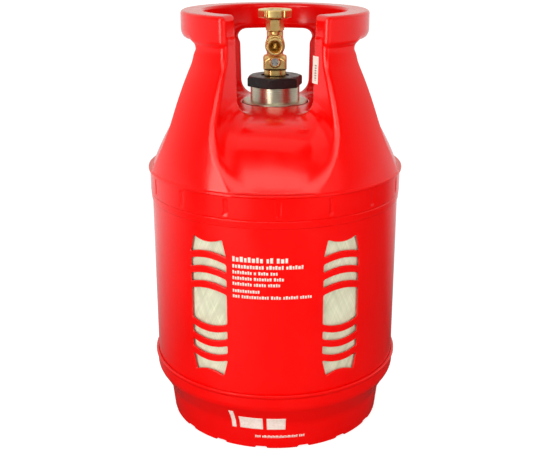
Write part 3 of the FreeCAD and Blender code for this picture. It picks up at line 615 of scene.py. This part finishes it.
def coil_spring(name, look, low, high):
    """Round wire wound along Y that fills the space between two corners."""
    steps = 120
    angles = np.linspace(0, 2 * math.pi * SPRING_TURNS, steps)
    coil_r = (high[0] - low[0]) / 2 - SPRING_WIRE_R
    out = np.stack([np.cos(angles), 0 * angles, np.sin(angles)], 1)
    middle = (low + high) / 2 + coil_r * out
    middle[:, 1] = np.linspace(high[1] - SPRING_WIRE_R, low[1] + SPRING_WIRE_R, steps)
    sides = 8
    rings = []
    for turn in np.linspace(0, 2 * math.pi, sides, endpoint=False):
        rings.append(middle + SPRING_WIRE_R * (out * math.cos(turn)
                                               + np.array([0, math.sin(turn), 0])))
    points = np.stack(rings, 1).reshape(-1, 3)
    quads = []
    for k in range(steps - 1):
        for n in range(sides):
            here, there = k * sides + n, k * sides + (n + 1) % sides
            quads.append((here, there, there + sides, here + sides))
    last = len(points) - sides
    # three quads close each eight-sided end
    for a, b, c, d in ((0, 3, 2, 1), (0, 7, 4, 3), (4, 7, 6, 5)):
        quads.append((a, b, c, d))
        quads.append((last + d, last + c, last + b, last + a))
    return piece(name, "cylinder", look, points, quads)


VESSEL_R = 144.5
VESSEL_STRAIGHT = (82.0, 306.0)
VESSEL_RISES = (70.0, 86.0)
COMPOSITE_WALL = 4.5
POLAR_R = 42.0
NECK_R = 24.1
CLAMP_BORE_R = 24.05
CLAMP_R = 38.5
CLAMP_BODY_R = 29.0
CLAMP_Z = (388.5, 411.8)
CLAMP_STEP_Z = 394.8


def vessel_outline():
    """Section of the wound shell, from its outside foot up, over the neck and down inside."""
    first_angle = 0.004
    runs = []
    for depth in (0, COMPOSITE_WALL):
        radius = VESSEL_R - depth
        low = [(radius * math.sin(t), VESSEL_STRAIGHT[0] - (VESSEL_RISES[0] - depth) * math.cos(t))
               for t in np.linspace(first_angle, math.pi / 2, 40)]
        stop = math.acos(POLAR_R / radius)
        high = [(radius * math.cos(t), VESSEL_STRAIGHT[1] + (VESSEL_RISES[1] - depth) * math.sin(t))
                for t in np.linspace(0, stop, 40)]
        straight = [(radius, z) for z in np.linspace(*VESSEL_STRAIGHT, 60)[1:-1]]
        neck = [(NECK_R, high[-1][1])]
        runs.append(low + straight + high + neck)
    return np.array(runs[0] + runs[1][::-1])


def clamp_outline():
    """Section of the clamp collar: a flat ring under a plain round body."""
    low, high = CLAMP_Z
    return rounded([
        (CLAMP_BORE_R, low), (CLAMP_R - 0.5, low), (CLAMP_R, low + 1.0),
        (CLAMP_R, CLAMP_STEP_Z - 0.9), (CLAMP_R - 0.9, CLAMP_STEP_Z), (CLAMP_BODY_R, CLAMP_STEP_Z),
        (CLAMP_BODY_R, high), (CLAMP_BORE_R, high)], 0.4)


# ---- valve ----
VALVE_STEM_R = 12.0
VALVE_STEM_Z = (397.0, 425.0)
COLLAR_R = 13.7
BLOCK_Z = (431.6, 447.6)
BLOCK_HALF = 13.8
BLOCK_FRONT = 14.0
BLOCK_CORNER = 3.0
BODY_R = 9.6
OUTLET_Z = 459.5
OUTLET_R = 10.0
OUTLET_END = 27.0
CHEEK_R = 11.6
CHEEK_END = 13.5
THREAD_PITCH = 1.81
THREAD_DEPTH = 0.75
THREAD_STARTS = 15.5
THREAD_RUN_OUT = 1.2
BONNET_Z = 475.0
BONNET_NECK_R = 8.1
BONNET_NECK_TOP = 483.0
CHAMBER_R = 6.95
SEAT_Z = 452.0
INLET_R = 4.0
OUTLET_BORE_R = 3.2
OUTLET_CONE_R = 7.4
OUTLET_CONE_DEPTH = 9.0
RELIEF_Z = 441.0
RELIEF_R = 6.0
RELIEF_END = 17.0
RELIEF_BORE_R = 4.6
RELIEF_SEAT_Y = 5.0
SPRING_TURNS = 3.25
SPRING_WIRE_R = 0.35


def valve(x, y, z):
    """Forged brass body with its threaded outlet, block, relief boss and passages."""
    r = np.hypot(x, y)
    front = -y
    across = np.hypot(x, z - OUTLET_Z)
    stem = rod(r, z, VALVE_STEM_R, *VALVE_STEM_Z, 0.8)
    flats = np.maximum(np.abs(x), np.abs(y)) - COLLAR_R + 1.0
    collar = both(rod(r, z, COLLAR_R, VALVE_STEM_Z[1] - 1, BLOCK_Z[0] + 2, 0.8), flats, 0.6)
    sides = both(np.abs(x) - BLOCK_HALF, np.maximum(front - BLOCK_FRONT, -front - BLOCK_HALF),
                 BLOCK_CORNER)
    block = both(sides, np.maximum(BLOCK_Z[0] - z, z - BLOCK_Z[1]), 1.6)
    shoulder = (r - BODY_R) * 0.7 + (z - BLOCK_Z[1]) * 0.7 - 2.6
    block = both(block, shoulder, 1.5)
    barrel = rod(r, z, BODY_R, BLOCK_Z[1] - 4, BONNET_Z, 0.7)
    cheek = rod(across, front, CHEEK_R, 0, CHEEK_END, 1.0)
    turn = np.arctan2(z - OUTLET_Z, x) / (2 * math.pi)
    wave = np.abs(((front / THREAD_PITCH - turn) % 1) - 0.5) * 2
    cut = THREAD_DEPTH * fade(wave) * fade((front - THREAD_STARTS) / THREAD_RUN_OUT)
    outlet = rod(across, front, OUTLET_R, 0, OUTLET_END, 1.1) + cut
    boss = rod(np.hypot(x, z - RELIEF_Z), front, RELIEF_R, 0, RELIEF_END, 0.9)
    neck = rod(r, z, BONNET_NECK_R, BONNET_Z - 2, BONNET_NECK_TOP, 0.4)
    body = either(either(stem, collar, 0.6), block, 1.2)
    body = either(body, barrel, 2.0)
    body = either(either(body, cheek, 1.6), outlet, 0.5)
    body = either(either(body, boss, 1.2), neck, 0.2)
    inlet = np.maximum(r - INLET_R, z - SEAT_Z - 1)
    chamber = np.maximum(r - CHAMBER_R, SEAT_Z - z)
    cone_r = OUTLET_BORE_R + (OUTLET_CONE_R - OUTLET_BORE_R) * np.maximum(
        front - OUTLET_END + OUTLET_CONE_DEPTH, 0) / OUTLET_CONE_DEPTH
    bore = np.maximum(across - cone_r, -front)
    relief = np.maximum(np.hypot(x, z - RELIEF_Z) - RELIEF_BORE_R, RELIEF_SEAT_Y - front)
    passages = np.minimum(np.minimum(inlet, chamber), np.minimum(bore, relief))
    return without(body, passages, 0.45)


def valve_grid():
    """Plain grid lines, closest together at the outlet's thread."""
    half = BLOCK_HALF + 0.8
    return [spaced((-half, 0.5), (half, 0)),
            spaced((-OUTLET_END - 0.8, 0.3), (-CHEEK_END, 0.6), (half, 0)),
            spaced((396, 1.2), (423, 0.5), (BONNET_Z + 1, 0.7), (BONNET_NECK_TOP + 1, 0))]


def hexagon(x, y, across_flats, turn=0.0):
    """Distance to a six-sided prism; with no turn it has flats to the front and back."""
    away = off_turn(x, y, math.radians(turn + 90), 6)
    return np.hypot(x, y) * np.cos(away) - across_flats / 2


def chamfered(r, z, corner_r, high, side):
    """The 30 degree cone that takes the corners off a nut's end."""
    return (r - corner_r) * 0.5 + side * (z - high) * math.cos(math.radians(30))


NECK_NUT_FLATS = 59.0
NECK_NUT_Z = (412.0, 424.0)
NECK_NUT_TURN = 18.0
NECK_BORE_R = 17.0
NECK_SPIGOT_LOW = 396.0
NECK_RECESS_R = 16.5
NECK_RECESS_DEPTH = 1.5
FIT = 0.05


def neck_nut(x, y, z):
    """Black hexagon with a sunk top and a round spigot below."""
    r = np.hypot(x, y)
    head = both(hexagon(x, y, NECK_NUT_FLATS, NECK_NUT_TURN),
                np.maximum(NECK_NUT_Z[0] - z, z - NECK_NUT_Z[1]), 0.8)
    head = both(head, chamfered(r, z, NECK_NUT_FLATS / 2 + 0.5, NECK_NUT_Z[1], 1), 0.8)
    spigot = rod(r, z, NECK_BORE_R - FIT, NECK_SPIGOT_LOW, NECK_NUT_Z[0] + 2, 0.6)
    whole = np.minimum(head, spigot)
    recess = np.maximum(r - NECK_RECESS_R, NECK_NUT_Z[1] - NECK_RECESS_DEPTH - z)
    return without(without(whole, r - VALVE_STEM_R - FIT, 0.4), recess, 0.7)


GLAND_FLATS = 18.4
GLAND_Z = (475.1, 489.0)
SPINDLE_R = 3.6


def gland_nut(x, y, z):
    """Brass hexagon under the handwheel, chamfered at both ends."""
    r = np.hypot(x, y)
    nut = both(hexagon(x, y, GLAND_FLATS), np.maximum(GLAND_Z[0] - z, z - GLAND_Z[1]), 0.4)
    for side, end in ((1, GLAND_Z[1]), (-1, GLAND_Z[0])):
        nut = both(nut, chamfered(r, z, GLAND_FLATS / 2 - 0.3, end, side), 0.4)
    socket = np.maximum(r - BONNET_NECK_R - FIT, z - BONNET_NECK_TOP - 0.9)
    return without(without(nut, socket, 0.3), r - SPINDLE_R - FIT, 0.3)


WHEEL_R = 20.0
WHEEL_Z = (490.6, 500.0)
WHEEL_LOBES = 6
WHEEL_GROOVE_R = 2.0
WHEEL_HUB_R = 9.7
WHEEL_HUB_LOW = 489.8
WHEEL_SINK_R = 8.0
WHEEL_SINK_Z = 496.4
WHEEL_SINK_SLOPE = (0.87, 0.48)
WHEEL_SQUARE_HALF = 2.55


def wheel(x, y, z):
    """Lobed handwheel with a hub below and a sunk top."""
    r = np.hypot(x, y)
    groove_turn = repeated(x, y, math.radians(-60), WHEEL_LOBES)
    rim = both(r - WHEEL_R, hexagon(x, y, 2 * WHEEL_R - 1.8), 2.0)
    rim = without(rim, np.hypot(groove_turn, r - WHEEL_R - 0.3) - WHEEL_GROOVE_R, 0.8)
    plate = both(rim, np.maximum(WHEEL_Z[0] - z, z - WHEEL_Z[1]), 1.4)
    hub = rod(r, z, WHEEL_HUB_R, WHEEL_HUB_LOW, WHEEL_Z[0] + 2, 0.6)
    out, up = WHEEL_SINK_SLOPE
    sink = np.maximum(WHEEL_SINK_Z - z, (r - WHEEL_SINK_R) * out - (z - WHEEL_SINK_Z) * up)
    body = without(either(plate, hub, 0.8), sink, 0.8)
    square = np.maximum(np.abs(x), np.abs(y)) - WHEEL_SQUARE_HALF
    return without(body, square, 0.2)


# ---- printed marks ----
PRINT_RAISED = 0.08
PRINT_STEP = 2.0


def blocks(words, left, baseline, height):
    """Rows of plain upright blocks in place of words: (left, right, bottom, top)."""
    made = []
    at = left
    for word in words:
        for k in range(word):
            width = height * (0.5, 0.6, 0.44)[(k + word) % 3]
            top = baseline + height * (1.0, 0.8, 0.8, 0.92)[(2 * k + word) % 4]
            made.append((at, at + width, baseline, top))
            at += width + height * 0.24
        at += height * 0.45
    return made


def printed(name, field, radius, marks):
    """Thin marks that lie on a turned surface, from their places across and up its front."""
    points, quads = [], []
    for left, right, bottom, top in marks:
        across = np.linspace(left, right, int((right - left) / PRINT_STEP) + 2)
        up = np.linspace(bottom, top, int((top - bottom) / PRINT_STEP) + 2)
        turn, height = np.meshgrid(across / radius - math.pi / 2, up, indexing="ij")
        sheet = np.stack(round_place(turn.ravel(), height.ravel(), radius), 1)
        sheet, normals = settle(field, sheet, 30.0)
        first = sum(len(p) for p in points)
        size = len(sheet)
        points += [sheet + normals * PRINT_RAISED, sheet - normals * PRINT_RAISED]
        columns, rows = turn.shape
        for i in range(columns - 1):
            for j in range(rows - 1):
                a = first + i * rows + j
                quads.append((a, a + rows, a + rows + 1, a + 1))
                quads.append((a + size, a + size + 1, a + size + rows + 1, a + size + rows))
        rim = [first + i * rows for i in range(columns)]
        rim += [first + (columns - 1) * rows + j for j in range(1, rows)]
        rim += [first + i * rows + rows - 1 for i in range(columns - 2, -1, -1)]
        rim += [first + j for j in range(rows - 2, 0, -1)]
        for a, b in zip(rim, rim[1:] + rim[:1]):
            quads.append((b, a, a + size, b + size))
    piece(name, "cylinder", "print", np.concatenate(points), quads)


def sleeve_marks():
    """Seven rows of plain blocks where such cylinders carry their data."""
    rows = [
        ((8, 2, 3), 242.0, 6.0), ((11, 6, 6), 234.6, 4.4), ((8, 1, 4, 3), 227.8, 3.8),
        ((8, 7, 4), 221.0, 3.8), ((8, 5, 5), 214.2, 3.8), ((11,), 206.0, 3.8),
        ((3, 11, 4, 6, 5), 199.4, 3.8)]
    left = -47.5
    marks = []
    for words, baseline, height in rows:
        marks += blocks(words, left, baseline, height)
    return marks


def cup_marks():
    """A tall block, a bar in two parts and a thin row under them."""
    tall = [(-59.0, -53.0, 25.0, 50.0)]
    bar = [(-47.5, -16.0, 26.0, 40.0), (-11.0, 14.0, 26.0, 40.0)]
    return tall + bar + blocks((3, 18, 3), -27.0, 14.0, 3.6)


# ---- materials ----
class Look:
    """A material built up from procedural nodes, placed in the object's own metres."""

    def __init__(self, name, roughness, metallic=0.0):
        self.material = bpy.data.materials.new(name)
        self.material.use_nodes = True
        self.tree = self.material.node_tree
        self.shader = self.tree.nodes["Principled BSDF"]
        self.shader.inputs["Roughness"].default_value = roughness
        self.shader.inputs["Metallic"].default_value = metallic
        self.place = self.tree.nodes.new("ShaderNodeTexCoord").outputs["Object"]

    def feed(self, socket, value):
        """Joins an input to another node's output, or sets it to a value."""
        if isinstance(value, bpy.types.NodeSocket):
            self.tree.links.new(value, socket)
        else:
            socket.default_value = value

    def add(self, kind, **inputs):
        """A node with its inputs fed by name, or by number after an underscore."""
        made = self.tree.nodes.new(kind)
        for name, value in inputs.items():
            self.feed(made.inputs[int(name[1:])] if name[0] == "_" else made.inputs[name], value)
        return made

    def set(self, **inputs):
        """Feeds inputs of the main shader; an underscore stands for a space."""
        for name, value in inputs.items():
            self.feed(self.shader.inputs[name.replace("_", " ")], value)

    def maths(self, kind, a, b=0.0):
        """One sum of two values, or of one value."""
        made = self.add("ShaderNodeMath", _0=a, _1=b)
        made.operation = kind
        return made.outputs[0]

    def stretched(self, place, x, y, z):
        """Coordinates multiplied along each axis."""
        made = self.add("ShaderNodeVectorMath", _0=place, _1=(x, y, z))
        made.operation = "MULTIPLY"
        return made.outputs[0]

    def noise(self, scale, detail=3.0, place=None, rough=0.55):
        """Soft noise from 0 to 1."""
        return self.add("ShaderNodeTexNoise", Vector=place or self.place, Scale=scale,
                        Detail=detail, Roughness=rough).outputs["Fac"]

    def span(self, value, low, high, first=0.0, last=1.0):
        """Value moved from the span low..high to first..last, and held there."""
        return self.add("ShaderNodeMapRange", _0=value, _1=low, _2=high, _3=first,
                        _4=last).outputs[0]

    def mix(self, share, first, last):
        """A colour between two others."""
        made = self.tree.nodes.new("ShaderNodeMix")
        made.data_type = "RGBA"
        for socket, value in ((made.inputs[0], share), (made.inputs[6], first),
                              (made.inputs[7], last)):
            self.feed(socket, (*value, 1) if isinstance(value, tuple) else value)
        return made.outputs[2]

    def bump(self, height, distance, strength=1.0, under=None):
        """Fine relief, laid over another if given."""
        made = self.add("ShaderNodeBump", Height=height, Distance=distance, Strength=strength)
        if under is not None:
            self.tree.links.new(under, made.inputs["Normal"])
        return made.outputs[0]

    def edges(self, low=0.52, high=0.6):
        """0 on flats and 1 on outside edges."""
        made = self.tree.nodes.new("ShaderNodeNewGeometry")
        return self.span(made.outputs["Pointiness"], low, high)

    def round_place(self, radius):
        """Coordinates along and up a cylinder round the Z axis."""
        parts = self.add("ShaderNodeSeparateXYZ", Vector=self.place)
        turn = self.maths("ARCTAN2", parts.outputs[1], parts.outputs[0])
        along = self.maths("MULTIPLY", turn, radius)
        return self.add("ShaderNodeCombineXYZ", X=along, Y=parts.outputs[2]).outputs[0]


def red_plastic():
    """Glossy moulded plastic: slight sink waves, orange peel, faint scuffs in its gloss, and a
    patchy painted highlight along its outer edges.
    """
    look = Look("red_plastic", 0.2)
    cloud = look.span(look.noise(9.0, 2.0), 0.3, 0.7)
    base = look.mix(cloud, (0.81, 0.0004, 0.0), (0.87, 0.0008, 0.0002))
    # painted highlight: outer edges turned paler and pinker in patches
    painted_edge_glint = look.maths("MULTIPLY", look.edges(0.51, 0.56), look.span(look.noise(70.0), 0.45, 0.7))
    base = look.mix(look.maths("MULTIPLY", painted_edge_glint, 0.35), base, (0.9, 0.04, 0.02))
    scuff = look.noise(1.0, 3.0, look.stretched(look.place, 260.0, 260.0, 40.0), 0.5)
    scuff = look.span(scuff, 0.6, 0.85, 0.0, 0.07)
    rough = look.maths("ADD", look.span(look.noise(45.0, 4.0), 0.3, 0.75, 0.15, 0.22), scuff)
    waves = look.bump(look.noise(16.0, 1.0), 0.0012, 0.35)
    peel = look.bump(look.noise(650.0, 2.0), 0.00006, 0.5, waves)
    look.set(Base_Color=base, Roughness=rough, Normal=peel, IOR=1.42)
    return look.material


def brass():
    """Machined brass with fine tool marks, painted shade in its corners and a painted highlight on
    its outer edges.
    """
    look = Look("brass_turned", 0.3, 1.0)
    cloud = look.span(look.noise(160.0, 4.0), 0.35, 0.7)
    base = look.mix(cloud, (0.88, 0.65, 0.27), (0.80, 0.54, 0.19))
    # painted shade: hollows and inner corners darkened
    deep = look.edges(0.49, 0.43)
    base = look.mix(look.maths("MULTIPLY", deep, 0.6), base, (0.38, 0.22, 0.07))
    # painted highlight: outer edges lightened
    bright = look.maths("MULTIPLY", look.edges(0.54, 0.62), 0.6)
    base = look.mix(bright, base, (0.98, 0.78, 0.38))
    marks = look.noise(1.0, 3.0, look.stretched(look.place, 300.0, 300.0, 2600.0))
    rough = look.span(look.noise(240.0, 3.0), 0.3, 0.7, 0.24, 0.38)
    look.set(Base_Color=base, Roughness=rough, Normal=look.bump(marks, 0.00003, 0.5))
    return look.material


def boss_metal():
    """Turned grey metal of the clamp collar."""
    look = Look("boss_metal", 0.3, 1.0)
    rings = look.noise(1.0, 3.0, look.stretched(look.place, 8.0, 8.0, 1800.0))
    cloud = look.span(look.noise(60.0, 4.0), 0.35, 0.7)
    base = look.mix(cloud, (0.50, 0.48, 0.37), (0.62, 0.60, 0.47))
    rough = look.span(rings, 0.3, 0.7, 0.24, 0.4)
    look.set(Base_Color=base, Roughness=rough, Normal=look.bump(rings, 0.00005, 0.5))
    return look.material


def nut_black():
    """Black coated hexagon, greyer in patches along its outer edges."""
    look = Look("nut_black", 0.36)
    grain = look.noise(900.0, 3.0)
    base = look.mix(look.span(look.noise(120.0, 3.0), 0.4, 0.7), (0.006, 0.006, 0.007),
                    (0.016, 0.016, 0.018))
    grey_edge_patches = look.maths("MULTIPLY", look.edges(0.53, 0.62), look.span(look.noise(300.0), 0.4, 0.65))
    base = look.mix(look.maths("MULTIPLY", grey_edge_patches, 0.5), base, (0.22, 0.21, 0.2))
    rough = look.span(look.noise(200.0, 4.0), 0.3, 0.7, 0.25, 0.5)
    look.set(Base_Color=base, Roughness=rough, Normal=look.bump(grain, 0.00008, 0.6))
    return look.material


def glass_fibre():
    """Resin-soaked glass rovings that cross at two angles, with broader grey-green bands."""
    look = Look("glass_fibre", 0.35)
    wall = look.round_place(VESSEL_R * MM)

    def streaks(turn, across, along, detail=3.0):
        turned = look.add("ShaderNodeVectorRotate", Vector=wall, Angle=turn)
        turned.rotation_type = "Z_AXIS"
        place = look.stretched(turned.outputs[0], across, along, 1.0)
        return look.noise(1.0, detail, place)

    weave = look.maths("ADD", streaks(0.45, 620.0, 12.0), streaks(-0.45, 620.0, 12.0))
    weave = look.maths("MULTIPLY", weave, 0.5)
    base = look.mix(look.span(weave, 0.4, 0.62), (0.60, 0.66, 0.48), (0.79, 0.82, 0.66))
    for turn, colour in ((0.5, (0.47, 0.51, 0.37)), (-0.38, (0.55, 0.57, 0.44)),
                         (1.1, (0.60, 0.61, 0.47))):
        band = look.span(streaks(turn, 95.0, 5.0, 1.0), 0.52, 0.66, 0.0, 0.6)
        base = look.mix(band, base, colour)
    milky = look.span(look.noise(35.0, 3.0), 0.45, 0.7, 0.0, 0.4)
    base = look.mix(milky, base, (0.85, 0.86, 0.75))
    look.set(Base_Color=base, Normal=look.bump(weave, 0.0002, 0.4), Coat_Weight=0.35,
             Coat_Roughness=0.15)
    return look.material


def label_paper():
    """White sticker with rows of plain dark blocks."""
    look = Look("label_paper", 0.5)
    parts = look.add("ShaderNodeSeparateXYZ", Vector=look.place)
    low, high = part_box("date_label")
    height = look.span(parts.outputs[2], low.z, high.z)
    side = look.span(parts.outputs[1], low.y, high.y)

    def within(value, middle, half):
        away = look.maths("ABSOLUTE", look.maths("SUBTRACT", value, middle))
        return look.maths("LESS_THAN", away, half)

    rows, row_share = 11.0, 0.55
    row = look.maths("FRACT", look.maths("MULTIPLY", height, rows))
    inside = look.maths("MULTIPLY", within(side, 0.45, 0.16), within(height, 0.42, 0.3))
    mark = look.maths("MULTIPLY", look.maths("LESS_THAN", row, row_share), inside)
    paper = look.mix(look.span(look.noise(200.0), 0.3, 0.7), (0.86, 0.82, 0.76), (0.92, 0.89, 0.85))
    look.set(Base_Color=look.mix(look.maths("MULTIPLY", mark, 0.8), paper, (0.08, 0.07, 0.07)),
             Normal=look.bump(look.noise(900.0), 0.00003, 0.3))
    return look.material


def plain_look(name, dark, light, roughness, scale, metallic=0.0):
    """A simple finish with uneven colour and roughness, for the small and inner pieces."""
    look = Look(name, roughness, metallic)
    cloud = look.noise(scale, 4.0)
    look.set(Base_Color=look.mix(look.span(cloud, 0.35, 0.7), dark, light),
             Roughness=look.span(look.noise(scale * 2, 3.0), 0.3, 0.7, roughness * 0.8,
                                 roughness * 1.25),
             Normal=look.bump(look.noise(scale * 5), 0.00004, 0.4))
    return look.material


LOOKS = {
    "casing_red": red_plastic(),
    "brass": brass(),
    "boss_metal": boss_metal(),
    "nut_black": nut_black(),
    "glass_fibre": glass_fibre(),
    "label": label_paper(),
    "print": plain_look("print_white", (0.80, 0.70, 0.66), (0.92, 0.86, 0.83), 0.45, 300.0),
    "steel": plain_look("steel", (0.50, 0.49, 0.46), (0.66, 0.65, 0.62), 0.28, 300.0, 1.0),
    "rubber": plain_look("rubber_black", (0.015, 0.015, 0.015), (0.03, 0.03, 0.03), 0.65, 400.0),
    "nylon": plain_look("nylon_white", (0.72, 0.70, 0.64), (0.82, 0.80, 0.75), 0.45, 200.0),
    "liner": plain_look("liner_natural", (0.66, 0.64, 0.55), (0.76, 0.74, 0.66), 0.4, 40.0),
}

# the CAD pieces that are shown as they are, under the look they take
CAD_LOOKS = {
    "label": ["date_label"],
    "liner": ["liner"],
    "boss_metal": ["boss_insert"],
    "rubber": ["boss_oring", "neck_seal", "spindle_oring", "relief_seal"],
    "nylon": ["gland_washer", "thrust_washer", "plug_seat_disc"],
    "brass": ["spindle", "valve_plug"],
    "steel": ["handwheel_nut", "relief_poppet", "relief_retainer"],
}


def dress_cad_pieces():
    """Gives every CAD piece that stays in view its material."""
    for look, nodes in CAD_LOOKS.items():
        for node in nodes:
            materials = frame["nodes"][node].data.materials
            materials.clear()
            materials.append(LOOKS[look])


# ---- pieces ----
def square_grid(half, step, *heights):
    """Plain grid lines round the Z axis."""
    return [spaced((-half, step), (half, 0)), spaced((-half, step), (half, 0)), spaced(*heights)]


def casing():
    """The three red mouldings and the marks printed on two of them."""
    upper_grid = [
        around(432),
        spaced((SEAM_Z - 1.4, 0.8), (292, 2.4), (314, 0.7), (321.5, 2.1), (HEIGHT + 2, 0)),
        spaced((37.5, 0.8), (42, 2.1), (143, 1.0), (147, 0.5), (FLANGE_R + 1.2, 0))]
    cup_grid = [
        around(384),
        spaced((-1.2, 0.8), (5, 2.6), (30, 1.3), (40, 2.6), (57, 1.2), (74, 0.6),
               (CUP_TOP + 1.2, 0)),
        spaced((33, 3.0), (117, 1.7), (142, 0.9), (147, 0.5), (CUP_LIP_R + 1, 0))]
    field_piece("upper_shell", "upper_casing", "casing_red", upper_shell, upper_grid, 1.5)
    field_piece("sleeve", "middle_casing", "casing_red", sleeve, sleeve_grid(), 0.7)
    field_piece("cup", "base_cup", "casing_red", cup, cup_grid, 1.2)
    printed("sleeve_print", sleeve_blank, SLEEVE_R, sleeve_marks())
    printed("cup_print", cup, CUP_LIP_R, cup_marks())


def vessel():
    """The wound shell and the metal collar round its neck."""
    turned_piece("wound_shell", "composite_shell", "glass_fibre", vessel_outline())
    turned_piece("clamp_collar", "boss_collar", "boss_metal", clamp_outline())


def valve_pieces():
    """The valve's body, its two hexagons and the handwheel."""
    neck_corner = NECK_NUT_FLATS / math.sqrt(3) + 1
    neck_grid = square_grid(neck_corner, 0.8, (395, 1.2), (411, 0.5), (425, 0))
    gland_corner = GLAND_FLATS / math.sqrt(3) + 0.8
    gland_grid = square_grid(gland_corner, 0.4, (474.4, 0.4), (489.8, 0))
    wheel_grid = square_grid(WHEEL_R + 0.8, 0.4, (489, 0.4), (500.8, 0))
    field_piece("valve", "valve_body", "brass", valve, valve_grid(), 0.4, True)
    field_piece("neck_hexagon", "neck_nut", "nut_black", neck_nut, neck_grid, 0.6, True)
    field_piece("gland_hexagon", "gland_nut", "brass", gland_nut, gland_grid, 0.4, True)
    field_piece("lobed_wheel", "handwheel", "brass", wheel, wheel_grid, 0.4, True, "handwheel_set")


def relief_spring():
    """The relief valve's spring, wound to fill the space the CAD spring takes."""
    low, high = reach("relief_spring")
    coil = coil_spring("relief_coil", "steel", low, high)
    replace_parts(coil, "relief_spring")
    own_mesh(coil)


casing()
vessel()
valve_pieces()
relief_spring()
dress_cad_pieces()


# ---- stage ----
FLOOR_HALF = 30.0
FLOOR_GLOW = 0.75
LAMP_COLOUR = (1, 0.95, 0.87)
ROOM_COLOUR = (1, 0.96, 0.9, 1)
ROOM_FRONT = 0.02
ROOM_BACK = 0.9
SENSOR_WIDTH = 36.0
FOCAL_LENGTH = 59.96
CAMERA_PLACE = (0, -1.0831, 0.5909)
CAMERA_DOWN = math.radians(18.07)
AIM = Vector((0, 0, HEIGHT * MM / 2))


def floor():
    """Pale floor: white to the camera; in reflections dark in front, bright behind and far off."""
    look = Look("floor", 0.6)
    rays = look.tree.nodes.new("ShaderNodeLightPath").outputs
    parts = look.add("ShaderNodeSeparateXYZ", Vector=look.place)
    across = look.maths("MULTIPLY", parts.outputs[0], -0.35)
    behind = look.span(look.maths("ADD", parts.outputs[1], across), 0.05, 0.75, 0.0, 0.75)
    away = look.add("ShaderNodeVectorMath", _0=look.place)
    away.operation = "LENGTH"
    far = look.span(away.outputs["Value"], 1.6, 3.2, 0.0, 0.65)
    mirrored = look.maths("MULTIPLY", rays["Is Glossy Ray"], look.maths("MAXIMUM", behind, far))
    seen = look.maths("MULTIPLY", rays["Is Camera Ray"], FLOOR_GLOW)
    cloud = look.span(look.noise(3.0), 0.3, 0.7)
    pale = look.mix(cloud, (0.58, 0.58, 0.58), (0.62, 0.62, 0.62))
    look.set(Base_Color=look.mix(rays["Is Glossy Ray"], pale, (0.03, 0.03, 0.03)),
             Emission_Color=(1, 1, 1, 1), Emission_Strength=look.maths("ADD", seen, mirrored))
    mesh = bpy.data.meshes.new("floor")
    corners = [(x * FLOOR_HALF, y * FLOOR_HALF, 0)
               for x, y in ((-1, -1), (1, -1), (1, 1), (-1, 1))]
    mesh.from_pydata(corners, [], [(0, 1, 2, 3)])
    mesh.materials.append(look.material)
    placed("floor", mesh)


def softbox(name, azimuth, elevation, distance, size, power, mirrored=True):
    """A rectangular lamp that looks at the middle of the object, seen in gloss or not."""
    lamp = bpy.data.lights.new(name, "AREA")
    lamp.shape = "RECTANGLE"
    lamp.size, lamp.size_y = size
    lamp.energy = power
    lamp.color = LAMP_COLOUR
    made = placed(name, lamp)
    turn, rise = math.radians(azimuth), math.radians(elevation)
    away = Vector((math.sin(turn) * math.cos(rise), -math.cos(turn) * math.cos(rise),
                   math.sin(rise)))
    made.location = AIM + away * distance
    made.rotation_euler = (-away).to_track_quat("-Z", "Y").to_euler()
    made.visible_glossy = mirrored


def camera():
    """Looks along +Y and a little down."""
    lens = bpy.data.cameras.new("camera")
    lens.sensor_width = SENSOR_WIDTH
    lens.lens = FOCAL_LENGTH
    made = placed("camera", lens)
    made.location = CAMERA_PLACE
    made.rotation_euler = (math.pi / 2 - CAMERA_DOWN, 0, 0)
    bpy.context.scene.camera = made


def world():
    """A bright room behind and beside the object, darker on the camera's side."""
    made = bpy.data.worlds.new("studio")
    made.use_nodes = True
    tree = made.node_tree
    place = tree.nodes.new("ShaderNodeTexCoord").outputs["Generated"]
    parts = tree.nodes.new("ShaderNodeSeparateXYZ")
    tree.links.new(place, parts.inputs[0])
    level = tree.nodes.new("ShaderNodeMapRange")
    tree.links.new(parts.outputs[1], level.inputs[0])
    for socket, value in zip(level.inputs[1:5], (-0.5, 0.5, ROOM_FRONT, ROOM_BACK)):
        socket.default_value = value
    tree.links.new(level.outputs[0], tree.nodes["Background"].inputs["Strength"])
    tree.nodes["Background"].inputs["Color"].default_value = ROOM_COLOUR
    bpy.context.scene.world = made
    bpy.context.scene.view_settings.view_transform = "Standard"


floor()
world()
camera()
softbox("key", -40, 9, 1.5, (0.9, 0.8), 13)
softbox("front", -4, 31, 1.5, (1.9, 0.36), 7)
softbox("top", -14, 66, 1.3, (1.3, 0.7), 2)
softbox("fill", 42, 9, 1.6, (0.8, 0.8), 10, mirrored=False)
